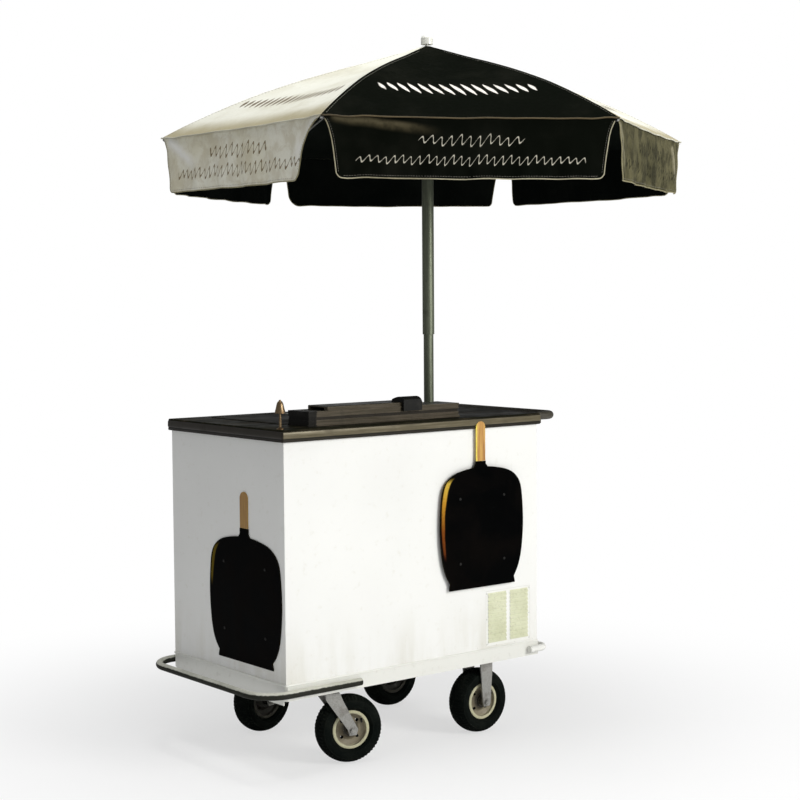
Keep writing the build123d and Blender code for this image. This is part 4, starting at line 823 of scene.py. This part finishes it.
class Shells:
    """Collects closed shells into one mesh, with a material slot and UVs for each."""

    def __init__(self):
        self.verts, self.faces, self.slots, self.uvs = [], [], [], []

    def add(self, verts, faces, slots=0, uvs=None):
        first = len(self.verts)
        self.verts += list(verts)
        self.faces += [tuple(int(i) + first for i in face) for face in faces]
        self.slots += [slots] * len(faces) if isinstance(slots, int) else slots
        self.uvs += [(vert[0], vert[2]) for vert in verts] if uvs is None else list(uvs)

    def add_cloth(self, grid, normal, thick, toward, uvs, slots=None):
        """A sheet with the same UVs on both sides; its own slots unless one is given."""
        verts, faces, own_slots = sheet(grid, normal, thick, toward)
        flat = uvs.reshape(-1, 2)
        slots = own_slots if slots is None else slots
        self.add(verts, faces, slots, np.concatenate([flat, flat]))

    def add_cord(self, points, radius):
        self.add(*tube(points, radius, sides=8), slots=2)

    def add_stitch(self, points, radius):
        self.add(*tube(points, radius, sides=5), slots=3)

    def make(self, name, materials, **options):
        return mesh_object(name, self.verts, self.faces, materials, self.uvs, self.slots,
                           **options)


# ------------------------------------------------------------------ umbrella canopy
POLE_X, POLE_Y = 0.074, 0.0
HEM_RADIUS = 0.845
HEM_Z = 1.877
# line of a rib from crown to hem: (radius, height)
RIB_LINE = np.array([
    (0.014, 2.174), (0.110, 2.146), (0.200, 2.120), (0.300, 2.093), (0.392, 2.066),
    (0.475, 2.039), (0.557, 2.010), (0.630, 1.980), (0.700, 1.949), (0.775, 1.914),
    (HEM_RADIUS, HEM_Z)])
# corner k stands at CORNER[k]; panel k spans corners k and k + 1 about MIDDLE[k]
CORNER = [math.radians(-90 + 60 * k) for k in range(6)]
MIDDLE = [angle + math.radians(30) for angle in CORNER]
WHITE_PANELS = (0, 2, 4)
GORE_START = 0.0142
GORE_THICK = 0.0011
GORE_ROWS, GORE_COLUMNS = 56, 30
SEAM_OFFSET = 0.010
SLEEVE_HALF_WIDTH = 0.0105
SLEEVE_ROWS, SLEEVE_COLUMNS = 44, 7

FLAP_HEIGHT, FLAP_GAP = 0.168, 0.007
FLAP_THICK = 0.0010
FLAP_COLUMNS = 40
# (panel, hand): how far the flap's side stands in at its foot, and its corner radius
FLAP_SIDES = {(4, 1): (0.112, 0.024), (3, -1): (0.068, 0.018), (3, 1): (0.060, 0.016),
              (2, -1): (0.054, 0.012), (2, 1): (0.036, 0.036), (1, -1): (0.040, 0.018)}
PLAIN_FLAP_SIDE = (0.036, 0.014)
# panel: drawn folds of its flap, each with its width and height
FLAP_FOLDS = {5: ((FRONT_FOLD, 0.0160, 0.0046),),
              4: ((END_FOLD, 0.0150, 0.0045),
                  ((0.400, 0.012, 0.255, 0.150), 0.0240, 0.0040)),
              0: ((SIDE_FOLDS[0], 0.0150, 0.0035), (SIDE_FOLDS[1], 0.0200, 0.0040))}


def directions(angle):
    """Outward and sideways unit vectors at an angle about the pole."""
    cosine, sine = math.cos(angle), math.sin(angle)
    return np.array([cosine, sine, 0.0]), np.array([-sine, cosine, 0.0])


def smooth_rib_line():
    """Dense, evenly smoothed rib line from crown to hem."""
    radius = np.linspace(RIB_LINE[0, 0], RIB_LINE[-1, 0], 241)
    z = np.interp(radius, RIB_LINE[:, 0], RIB_LINE[:, 1])
    for _ in range(60):
        z[1:-1] = 0.25 * z[:-2] + 0.5 * z[1:-1] + 0.25 * z[2:]
    return radius, z


RIB_RADIUS, RIB_Z = smooth_rib_line()


def ripple(x, y, z):
    """Small fixed creases in the cloth, the same wherever two pieces meet."""
    return (np.sin(31.0 * x + 17.0 * y + 0.6) * 0.45
            + np.sin(-22.0 * x + 38.0 * y + 1.9) * 0.35
            + np.sin(57.0 * x - 12.0 * y + 41.0 * z + 0.3) * 0.20)


def panel_point(panel, radius, across):
    """Cloth of a panel at a rib radius; across runs from -1 at one corner to 1 at the next."""
    out, side = directions(MIDDLE[panel])
    reach = radius / HEM_RADIUS
    from_corner = 1.0 - np.abs(across)
    inner = 1.0 - across * across
    # the cloth hangs between the ribs, and its hem draws in
    sag = 0.017 * np.sin(np.pi * np.clip(reach, 0, 1)) ** 1.2 + 0.004 * reach ** 2
    outward = radius * math.cos(math.radians(30)) - 0.004 * inner * reach ** 5
    sideways = across * radius / 2
    x = POLE_X + out[0] * outward + side[0] * sideways
    y = POLE_Y + out[1] * outward + side[1] * sideways
    z = np.interp(radius, RIB_RADIUS, RIB_Z) - sag * inner
    # fine drift
    fade_in = np.sqrt(np.clip(inner, 0, 1)) * np.clip(reach * 1.4, 0, 1)
    z = z + 0.0016 * ripple(x, y, z) * fade_in
    # creases fanning from the corners at the hem
    fan = (np.sin(26.0 * from_corner * reach) * np.exp(-((1.0 - reach) / 0.20) ** 2)
           * np.exp(-(from_corner / 0.28) ** 2))
    z = z + 0.0022 * fan * np.clip(from_corner * 14, 0, 1)
    # sewn ridge beside the rib
    z = z + 0.0011 * np.exp(-((from_corner * radius / 2 - 0.004) / 0.0035) ** 2)
    return np.stack([x, y, z], -1)


def gore_normals(panel, corner, radius, across):
    """Upward normals of a half gore, flattened along its two straight edges."""
    step = 1e-4
    down = panel_point(panel, radius + step, across) - panel_point(panel, radius - step, across)
    along = (panel_point(panel, radius, np.clip(across + step * 8, -1, 1))
             - panel_point(panel, radius, np.clip(across - step * 8, -1, 1)))
    normals = np.cross(down, along)
    normals /= np.linalg.norm(normals, axis=-1)[..., None]
    normals[normals[..., 2] < 0] *= -1
    # at the rib and the panel's middle they stay in the upright plane, so neighbours meet
    for column, angle in ((0, CORNER[corner]), (-1, MIDDLE[panel])):
        side = directions(angle)[1]
        normals[:, column] -= (normals[:, column] @ side)[:, None] * side
        normals[:, column] /= np.linalg.norm(normals[:, column], axis=-1)[:, None]
    return normals


def half_gore(panel, hand, corner):
    """Half a canopy panel: hand -1 next to corner `panel`, 1 next to the following corner."""
    radii = (GORE_START
             + (HEM_RADIUS - GORE_START) * np.linspace(0, 1, GORE_ROWS) ** 0.92)
    # columns crowd towards the rib; 0 at the corner, 1 at the middle
    near = np.array([0, 0.002, 0.004, 0.0065, 0.010, 0.016, 0.024, 0.036])
    rest = np.linspace(0.055, 1.0, GORE_COLUMNS - len(near))
    places = hand * (1.0 - np.concatenate([near, rest]))
    radius, across = np.meshgrid(radii, places, indexing="ij")
    grid = panel_point(panel, radius, across)
    normals = gore_normals(panel, corner, radius, across)
    steps = np.hypot(np.diff(radii * math.cos(math.radians(30))),
                     np.diff(np.interp(radii, RIB_RADIUS, RIB_Z)))
    slant = np.concatenate([[0], np.cumsum(steps)])
    off_hem = (slant[-1] - slant)[:, None] + 0 * across
    uvs = np.stack([across * radius / 2, off_hem], -1)
    # both halves run the same way round
    order = slice(None, None, -hand)
    shells = Shells()
    shells.add_cloth(grid[:, order], normals[:, order], GORE_THICK, UP, uvs[:, order])
    # hem cord
    shells.add_cord(grid[-1] + np.array([0, 0, -0.0006]), radius=0.0022)
    # stitches beside the rib seam
    for start in np.arange(0.10, HEM_RADIUS - 0.012, 0.0105):
        place = hand * (1 - SEAM_OFFSET / (start / 2))
        ends = panel_point(panel, np.array([start, start + 0.0058]), np.array([place, place]))
        shells.add_stitch(ends + np.array([0, 0, 0.0003]), radius=0.0005)
    return shells


def flap_edge(panel, hand, drop):
    """How far the flap's side stands in from the corner at a drop below the hem."""
    inset, rounding = FLAP_SIDES.get((panel, hand), PLAIN_FLAP_SIDE)
    part = drop / FLAP_HEIGHT
    # curves in quickly below the hem, then runs almost straight down
    side = FLAP_GAP + inset * (0.55 * (1 - np.exp(-part * 5.0)) + 0.45 * part)
    turn = np.clip((drop - (FLAP_HEIGHT - rounding)) / rounding, 0, 1)
    return side + rounding * (1 - np.sqrt(1 - turn * turn))


def drawn_relief(panel, across, drop):
    """Height of the folds drawn across a flap, at metres across it and below the hem."""
    relief = 0.0
    for fold, width, high in FLAP_FOLDS.get(panel, ()):
        start_across, start_drop, end_across, end_drop = fold
        run, fall = end_across - start_across, end_drop - start_drop
        length = math.hypot(run, fall)
        from_across, from_drop = across - start_across, drop - start_drop
        along = np.clip((from_across * run + from_drop * fall) / (length * length), -0.3, 1.3)
        beside = (from_across * fall - from_drop * run) / length
        relief = relief + (high * np.exp(-(beside / width) ** 2)
                           * np.clip(along * 8 + 0.3, 0, 1)
                           * np.clip((1.05 - along) * 2.2, 0, 1)
                           * np.clip(drop / 0.012, 0, 1))
    return relief


def flap_point(panel, hand, distance, drop):
    """Point of the valance at a distance from the corner along the hem and a drop below it."""
    out = directions(MIDDLE[panel])[0]
    across = hand * (1 - distance / (HEM_RADIUS / 2))
    from_corner = 1 - np.abs(across)
    top = panel_point(panel, np.full(np.shape(across), HEM_RADIUS), across)
    part = drop / FLAP_HEIGHT
    # belly of the flap and waves that grow towards its foot
    wobble = (np.sin(19.0 * across + 1.3 * panel) * 0.0042
              + np.sin(41.0 * across + 2.1 * panel + 2.0) * 0.0020)
    belly = 0.0035 * np.sin(np.pi * part) * (1 - across * across) + wobble * part ** 1.3 - 0.0045
    # drag folds running down from the corners
    drag = (np.exp(-(from_corner / 0.16) ** 2)
            * np.sin(from_corner * 46.0 + 9.0 * part) * 0.0016)
    drawn = drawn_relief(panel, across * HEM_RADIUS / 2, drop)
    points = top + out * (belly + drawn + drag * np.clip(part * 4, 0, 1))[..., None]
    points[..., 2] = top[..., 2] - drop - 0.0005
    return points


def half_flap(panel, hand):
    """Half a valance flap with its corded edge and stitches."""
    rounding = FLAP_SIDES.get((panel, hand), PLAIN_FLAP_SIDE)[1]
    straight = FLAP_HEIGHT - rounding
    rounded = straight + rounding * np.sin(np.linspace(0, math.pi / 2, 10))[1:]
    drops = np.concatenate([np.linspace(0, straight, 18), rounded])
    drop, place = np.meshgrid(drops, np.linspace(0, 1, FLAP_COLUMNS), indexing="ij")
    edge = flap_edge(panel, hand, drop)
    distance = edge + (HEM_RADIUS / 2 - edge) * place
    grid = flap_point(panel, hand, distance, drop)
    out = directions(MIDDLE[panel])[0]
    across = hand * (1 - distance / (HEM_RADIUS / 2))
    uvs = np.stack([across * HEM_RADIUS / 2, drop], -1)
    order = slice(None, None, -hand)
    shells = Shells()
    shells.add_cloth(grid[:, order], out, FLAP_THICK, out, uvs[:, order])
    # cord down the side, round the corner and along the foot
    foot_start = flap_edge(panel, hand, np.array(FLAP_HEIGHT))
    side = flap_point(panel, hand, flap_edge(panel, hand, drops[1:]), drops[1:])
    along_foot = np.linspace(foot_start, HEM_RADIUS / 2, 26)[1:]
    foot = flap_point(panel, hand, along_foot, np.full(len(along_foot), FLAP_HEIGHT))
    shells.add_cord(np.concatenate([side, foot]) - out * FLAP_THICK / 2, radius=0.0017)

    # a row of stitches just inside the cord, each as its two distances and two drops
    stitches = []
    for start in np.arange(0.010, straight - 0.004, 0.0066):
        inset = flap_edge(panel, hand, np.array(start)) + 0.0070
        stitches.append(([inset, inset], [start, start + 0.0036]))
    for start in np.arange(float(foot_start) + 0.006, HEM_RADIUS / 2 - 0.004, 0.0075):
        stitches.append(([start, start + 0.0040], [FLAP_HEIGHT - 0.0070] * 2))
    for distances, stitch_drops in stitches:
        ends = flap_point(panel, hand, np.array(distances), np.array(stitch_drops))
        shells.add_stitch(ends + out * 0.0002, radius=0.00045)
    return shells


def place_gore(panel, hand, corner, letter):
    kind = "white" if panel in WHITE_PANELS else "black"
    cord = "cord_hem_white" if kind == "white" else "cord_hem_dark"
    gore = half_gore(panel, hand, corner).make(
        f"canopy_panel_{panel + 1}_{letter}",
        ["canopy_" + kind, "canopy_lining", cord, "seam_thread"])
    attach(gore, f"rib_arm_{corner + 1}")
    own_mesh(gore)
    # the first piece stands for the whole CAD canopy
    if panel == 0 and hand < 0:
        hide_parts("canopy")


def place_flap(panel, hand, corner, letter):
    white = panel in WHITE_PANELS
    special = {0: "valance_white_painted_shade", 5: "valance_black_front"}
    cloth = special.get(panel, "valance_white" if white else "valance_black")
    cord = "cord_olive" if white else "cord_light"
    flap = half_flap(panel, hand).make(f"valance_flap_{panel + 1}_{letter}",
                                       [cloth, "canopy_lining", cord, "seam_thread"])
    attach(flap, f"valance_hang_{corner + 1}")
    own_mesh(flap)
    if hand < 0:
        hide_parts(f"valance_{corner + 1}")


def place_sleeve(corner):
    """Dark sleeve that carries a rib under the seam."""
    out, side = directions(CORNER[corner])
    radii = np.linspace(0.09, HEM_RADIUS - 0.020, SLEEVE_ROWS)
    line = np.array([POLE_X, POLE_Y, 0.0]) + out * radii[:, None]
    line[:, 2] = np.interp(radii, RIB_RADIUS, RIB_Z) - 0.0030
    places = np.linspace(-1, 1, SLEEVE_COLUMNS)
    offsets = SLEEVE_HALF_WIDTH * places
    grid = line[:, None, :] + side * offsets[None, :, None]
    grid[..., 2] -= 0.0012 * (places ** 2)[None, :]
    uvs = np.stack(np.broadcast_arrays(offsets[None, :], radii[:, None]), -1)
    shells = Shells()
    shells.add_cloth(grid, UP, thick=0.0010, toward=UP, uvs=uvs, slots=0)
    sleeve = shells.make(f"rib_sleeve_{corner + 1}", ["canopy_lining"])
    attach(sleeve, f"rib_arm_{corner + 1}")


for panel_index in range(6):
    for hand_sign, corner_index, half_letter in ((-1, panel_index, "a"),
                                                 (1, (panel_index + 1) % 6, "b")):
        place_gore(panel_index, hand_sign, corner_index, half_letter)
        place_flap(panel_index, hand_sign, corner_index, half_letter)
for corner_index in range(6):
    place_sleeve(corner_index)


# ------------------------------------------------------------------ counter and chassis mouldings
MOULDING_GAP = 0.0001
MOULDING_CORNER = 0.004
# closed sections: (outward, z)
TRIM_SECTION = [
    (-0.0002, 0.9735), (0.0010, 0.9730), (0.0013, 0.9790), (0.0004, 0.9800),
    (0.0004, 0.9812), (0.0016, 0.9822), (0.0023, 0.9850), (0.0025, 0.9900),
    (0.0023, 0.9950), (0.0017, 0.9990), (0.0008, 1.0015), (-0.0002, 1.0022)]
LIP_SECTION = [
    (-0.0002, 0.2755), (0.0010, 0.2752), (0.0018, 0.2768), (0.0018, 0.2792),
    (0.0008, 0.2808), (-0.0019, 0.2811), (-0.0019, 0.2790)]


def rounded_loop(x0, x1, y0, y1, radius, steps=8):
    """Corner-rounded rectangle as a closed list of (x, y)."""
    points = []
    for x, y, start in ((x1 - radius, y1 - radius, 0), (x0 + radius, y1 - radius, 90),
                        (x0 + radius, y0 + radius, 180), (x1 - radius, y0 + radius, 270)):
        for i in range(steps + 1):
            angle = math.radians(start + 90 * i / steps)
            points.append((x + radius * math.cos(angle), y + radius * math.sin(angle)))
    return points


def moulding(name, x0, x1, y0, y1, section, material):
    """A section carried round a rounded rectangle."""
    loop = rounded_loop(x0, x1, y0, y1, MOULDING_CORNER)
    verts = []
    for i, (x, y) in enumerate(loop):
        before, after = loop[i - 1], loop[(i + 1) % len(loop)]
        run_x, run_y = after[0] - before[0], after[1] - before[1]
        length = math.hypot(run_x, run_y)
        for out, z in section:
            verts.append((x + run_y / length * out, y - run_x / length * out, z))
    faces = ring_faces(len(loop), len(section), flip=True)
    obj = mesh_object(name, verts, faces, [material], [(x + y, z) for x, y, z in verts])
    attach(obj, "cart")


box_low, box_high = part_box("countertop")
moulding("counter_edge_trim", box_low.x - MOULDING_GAP, box_high.x + MOULDING_GAP,
         box_low.y - MOULDING_GAP, box_high.y + MOULDING_GAP, TRIM_SECTION,
         "counter_edge_trim")
box_low, box_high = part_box("chassis_frame")
moulding("chassis_lip", box_low.x + MOULDING_GAP, box_high.x + MOULDING_GAP,
         box_low.y - MOULDING_GAP, box_high.y + MOULDING_GAP, LIP_SECTION,
         "chassis_paint")

# ------------------------------------------------------------------ screws and rivets
SCREW_SEGMENTS = 18
SCREW_FOOT = -0.0004
# dome of a pan head, foot to crown: (part of the radius, part of the height)
SCREW_DOME = ((1.0, 0.35), (0.86, 0.75), (0.55, 0.97))
SCREW_MATERIALS = ["bolt_steel", "black_plastic", "white_enamel", "louvre_enamel"]
STEEL, BLACK, WHITE, LOUVRE = range(4)
FRONT, BACK, LEFT, RIGHT = (0, -1, 0), (0, 1, 0), (-1, 0, 0), (1, 0, 0)
RIVET_Z = 0.2872

# slotted screws: centre, facing, radius, height, slot
SCREWS = (
    [((x, -0.3010, z), FRONT, 0.0030, 0.0014, LOUVRE)
     for z in (0.2935, 0.3725, 0.4525) for x in (0.0535, 0.2325)]
    + [((x, -0.3130, z), FRONT, 0.0045, 0.0016, BLACK)
       for x in (-0.064, 0.116) for z in (0.560, 0.760)]
    + [((-0.7120, y, z), LEFT, 0.0045, 0.0016, BLACK)
       for y in (-0.205, 0.010) for z in (0.400, 0.600)]
    + [((0.2820, y + dy, 0.9905 + dz), RIGHT, 0.0026, 0.0014, STEEL)
       for y in (-0.287, 0.287) for dz in (-0.0115, 0.0085) for dy in (-0.0155, 0.0155)])
# plain rivets low on the skin: centre, facing
RIVETS = (
    [((x, y, RIVET_Z), facing) for x in np.linspace(-0.690, 0.250, 13)
     for y, facing in ((-0.3010, FRONT), (0.3010, BACK))]
    + [((x, y, RIVET_Z), facing) for y in np.linspace(-0.280, 0.280, 8)
       for x, facing in ((-0.7090, LEFT), (0.2680, RIGHT))])


def screw_head(shells, centre, facing, radius, height, slot, slot_turn=None):
    """Closed pan head, with a dark slot bar at an angle when slot_turn is given."""
    centre, axis = np.array(centre, float), np.array(facing, float)
    start = unit(np.cross(axis, UP))
    profile = np.array([(radius, SCREW_FOOT)]
                       + [(radius * wide, height * high) for wide, high in SCREW_DOME])
    turns = (SCREW_SEGMENTS, 1)
    rings = spin(centre, axis, start, np.tile(profile[:, 0], turns),
                 np.tile(profile[:, 1], turns)).transpose(1, 0, 2).reshape(-1, 3)
    verts = [centre + axis * SCREW_FOOT, *rings, centre + axis * height]
    crown = len(verts) - 1
    top_ring = 1 + (len(profile) - 1) * SCREW_SEGMENTS
    faces = []
    for i in range(SCREW_SEGMENTS):
        j = (i + 1) % SCREW_SEGMENTS
        faces.append((0, 1 + j, 1 + i))
        for ring in range(1, top_ring, SCREW_SEGMENTS):
            above = ring + SCREW_SEGMENTS
            faces.append((ring + i, ring + j, above + j, above + i))
        faces.append((top_ring + i, top_ring + j, crown))
    shells.add(verts, faces, slot)
    if slot_turn is None:
        return
    along = math.cos(slot_turn) * start + math.sin(slot_turn) * np.cross(axis, start)
    beside = np.cross(axis, along)
    bar = [centre + along * (i * radius * 0.78) + beside * (j * radius * 0.13) + axis * up
           for up in (height * 0.55, height * 1.02)
           for i, j in ((-1, -1), (1, -1), (1, 1), (-1, 1))]
    bar_faces = [(0, 3, 2, 1), (4, 5, 6, 7), (0, 1, 5, 4), (1, 2, 6, 5), (2, 3, 7, 6),
                 (3, 0, 4, 7)]
    shells.add(bar, bar_faces, BLACK)


def scattered_turn(i):
    """A fixed but irregular angle for screw i."""
    return (math.sin(i * 12.9898 + 4.1) * 43758.5453) % 3.1416


heads = Shells()
for number, screw in enumerate(SCREWS, start=1):
    screw_head(heads, *screw, slot_turn=scattered_turn(number))
for rivet in RIVETS:
    screw_head(heads, *rivet, radius=0.0024, height=0.0010, slot=WHITE)
screws = heads.make("panel_screws", SCREW_MATERIALS)
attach(screws, "cart")

# ------------------------------------------------------------------ tyres and valves
TYRE_SEGMENTS = 324
VALVE_SEGMENTS = 16
# half of the tyre section from bead to crown: (radius, height from the wheel's middle plane)
TYRE_HALF = [
    (0.0508, 0.0225), (0.0508, 0.0237), (0.0580, 0.0238), (0.0590, 0.0262), (0.0612, 0.0290),
    (0.0640, 0.0318), (0.0660, 0.0334), (0.0668, 0.0346), (0.0684, 0.0347), (0.0692, 0.0345),
    (0.0740, 0.0357), (0.0790, 0.0361), (0.0830, 0.0357), (0.0860, 0.0348), (0.0868, 0.0356),
    (0.0880, 0.0351), (0.0886, 0.0338), (0.0912, 0.0320), (0.0935, 0.0295), (0.0955, 0.0264),
    (0.0970, 0.0232), (0.0982, 0.0198), (0.0992, 0.0164), (0.1000, 0.0130), (0.1005, 0.0110),
    (0.1008, 0.0092), (0.1010, 0.0074), (0.1012, 0.0056), (0.1013, 0.0038), (0.1014, 0.0019)]
TYRE_SECTION = np.array(TYRE_HALF + [(0.1015, 0.0)] + [(r, -h) for r, h in TYRE_HALF[::-1]])


def place_tyre(wheel, centre, face, forward):
    """Ring of rubber with two zigzag grooves, cut shoulders and ribbed walls."""
    shape = (TYRE_SEGMENTS, len(TYRE_SECTION))
    turn = (np.arange(TYRE_SEGMENTS) * 2 * math.pi / TYRE_SEGMENTS)[:, None]
    radius = np.broadcast_to(TYRE_SECTION[:, 0], shape)
    height = np.broadcast_to(TYRE_SECTION[:, 1], shape)

    def repeat(count, part, shift=0.0):
        """True over a part of each of `count` equal steps round the wheel."""
        return np.mod(turn * count / (2 * math.pi) + shift, 1.0) < part

    swing = np.sin(turn * 36)
    zigzag = 0.0016 * np.sign(swing) * np.minimum(1.0, np.abs(swing) * 3)
    groove = np.exp(-((np.abs(height + zigzag) - 0.0092) / 0.0013) ** 4)
    tread = radius > 0.0900
    off_middle = np.abs(height)
    cuts = ((off_middle > 0.0150) & (off_middle < 0.0330) & tread
            & repeat(54, part=0.34, shift=0.5 * (height > 0)))
    # short slits across the middle of the crown
    slits = (off_middle < 0.0062) & (radius > 0.1000) & repeat(36, part=0.12)
    depth = (np.where(tread, 0.0023 * groove, 0.0) + np.where(cuts, 0.0019, 0.0)
             + np.where(slits, 0.0012, 0.0))
    ribs = (radius > 0.0700) & (radius < 0.0850) & repeat(108, part=0.34)
    height = height + np.where(ribs, 0.00045 * np.sign(height), 0.0)
    verts = spin(centre, face, forward, radius - depth, height).reshape(-1, 3)
    shells = Shells()
    shells.add(verts, ring_faces(*shape))
    tyre = shells.make("tread_tyre_" + wheel, ["tyre_rubber"], sharp_angle=32.0)
    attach(tyre, "wheel_" + wheel)
    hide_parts("tyre_" + wheel)


def place_valve(wheel, centre, face, forward):
    """Valve stem through the outboard side of the dish."""
    outboard = face * (1 if "front" in wheel else -1)
    radial = forward * math.cos(0.6) + UP * math.sin(0.6)
    stem = outboard * 0.0165 - radial * 0.0060
    base = centre + radial * 0.0440 + outboard * 0.0150
    length = float(np.linalg.norm(stem))
    # (radius, height) from the foot to the tip
    profile = np.array([
        (0.0002, 0.0), (0.0036, 0.0), (0.0034, length * 0.30), (0.0024, length * 0.42),
        (0.0024, length * 0.62), (0.0029, length * 0.64), (0.0029, length * 0.95),
        (0.0022, length), (0.0002, length)])
    turns = (VALVE_SEGMENTS, 1)
    axis = stem / length
    points = spin(base, axis, np.cross(axis, radial), np.tile(profile[:, 0], turns),
                  np.tile(profile[:, 1], turns))
    shells = Shells()
    shells.add(points.reshape(-1, 3), ring_faces(VALVE_SEGMENTS, len(profile), flip=True))
    valve = shells.make("valve_" + wheel, ["seal_rubber"])
    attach(valve, "wheel_" + wheel)


for wheel_name in WHEEL_TURN:
    axle = wheel_face(wheel_name)
    ahead = np.array([-axle[1], axle[0], 0.0])
    middle = np.array(box_centre("tyre_" + wheel_name))
    place_tyre(wheel_name, middle, axle, ahead)
    place_valve(wheel_name, middle, axle, ahead)


# ------------------------------------------------------------------ stage, light, camera
FLOOR_HALF = 60.0


def floor_material():
    """White floor: keeps soft shadows by the wheels and clears to plain white farther out."""
    mat = Surface("floor_pale", rough=0.9, spec=0.1)
    mat.base(mat.mix(mat.noise(scale=1.2, detail=3).fade(start=0.3, end=0.8),
                     (0.90, 0.90, 0.90), (0.87, 0.87, 0.87)))
    x, y, _ = mat.axes(mat.geometry("Position"))
    distance = ((x + 0.2) ** 2.0 + y ** 2.0).sqrt()
    clear = distance.fade(start=0.5, end=2.2, out=(0.60, 1.0))
    seen = mat.add("ShaderNodeLightPath", {}, "Is Camera Ray")
    glow = mat.add("ShaderNodeEmission", {"Color": (1.0, 1.0, 1.0), "Strength": 1.0})
    paper = Signal(mat, mat.shader.outputs[0])
    both = mat.add("ShaderNodeMixShader", {0: clear * seen, 1: paper, 2: glow})
    mat.put(mat.tree.nodes["Material Output"].inputs["Surface"], both)


def place_floor():
    mesh = bpy.data.meshes.new("floor")
    corners = [(i * FLOOR_HALF, j * FLOOR_HALF, 0)
               for i, j in ((-1, -1), (1, -1), (1, 1), (-1, 1))]
    mesh.from_pydata(corners, [], [(0, 1, 2, 3)])
    floor_material()
    mesh.materials.append(MATERIALS["floor_pale"])
    floor = bpy.data.objects.new("floor", mesh)
    bpy.context.scene.collection.objects.link(floor)


def set_world():
    """Dim bluish light from all round; the camera itself sees plain white."""
    world = bpy.data.worlds.new("studio")
    bpy.context.scene.world = world
    world.use_nodes = True
    tree = world.node_tree
    tree.nodes.clear()
    path = tree.nodes.new("ShaderNodeLightPath")
    pick = tree.nodes.new("ShaderNodeMixShader")
    output = tree.nodes.new("ShaderNodeOutputWorld")
    tree.links.new(path.outputs["Is Camera Ray"], pick.inputs[0])
    # input of the mix, colour, strength: the light, then what the camera sees
    for socket, colour, strength in ((1, (0.97, 0.985, 1.0, 1.0), 0.285),
                                     (2, (1.0, 1.0, 1.0, 1.0), 1.0)):
        background = tree.nodes.new("ShaderNodeBackground")
        background.inputs[0].default_value = colour
        background.inputs[1].default_value = strength
        tree.links.new(background.outputs[0], pick.inputs[socket])
    tree.links.new(pick.outputs[0], output.inputs[0])


def area_light(name, place, target, size, power, colour=(1, 1, 1)):
    light = bpy.data.lights.new(name, "AREA")
    light.energy = power
    light.size = size
    light.color = colour
    obj = bpy.data.objects.new(name, light)
    obj.location = place
    obj.rotation_mode = "QUATERNION"
    aim = Vector(target) - Vector(place)
    obj.rotation_quaternion = aim.to_track_quat("-Z", "Y")
    bpy.context.scene.collection.objects.link(obj)


def place_camera():
    """Camera off the front left, turned from +y towards +x by yaw; angles in radians."""
    place = (-3.366546787, -4.130668244, 1.385892241)
    yaw, pitch, roll = 0.6771090260112044, -0.06360826110041563, -0.006768718748858491
    forward = Vector((math.sin(yaw) * math.cos(pitch), math.cos(yaw) * math.cos(pitch),
                      math.sin(pitch)))
    level = Vector((math.cos(yaw), -math.sin(yaw), 0.0))
    above = level.cross(forward)
    right = math.cos(roll) * level + math.sin(roll) * above
    up = -math.sin(roll) * level + math.cos(roll) * above
    data = bpy.data.cameras.new("camera")
    data.sensor_width = 36.0
    data.sensor_fit = "HORIZONTAL"
    data.lens = 74.82335782336406
    data.clip_start = 0.05
    data.clip_end = 200.0
    camera = bpy.data.objects.new("camera", data)
    rows = [(right[i], up[i], -forward[i], place[i]) for i in range(3)]
    camera.matrix_world = Matrix((*rows, (0, 0, 0, 1)))
    bpy.context.scene.collection.objects.link(camera)
    bpy.context.scene.camera = camera


place_floor()
set_world()
area_light("key", place=(1.6, -5.2, 2.7), target=(0, 0, 0.8), size=2.2, power=200.0,
           colour=(1.0, 0.993, 0.965))
area_light("top", place=(-0.2, -0.5, 5.6), target=(0, 0, 1.2), size=2.6, power=172.0)
place_camera()
bpy.context.scene.view_settings.view_transform = "Standard"
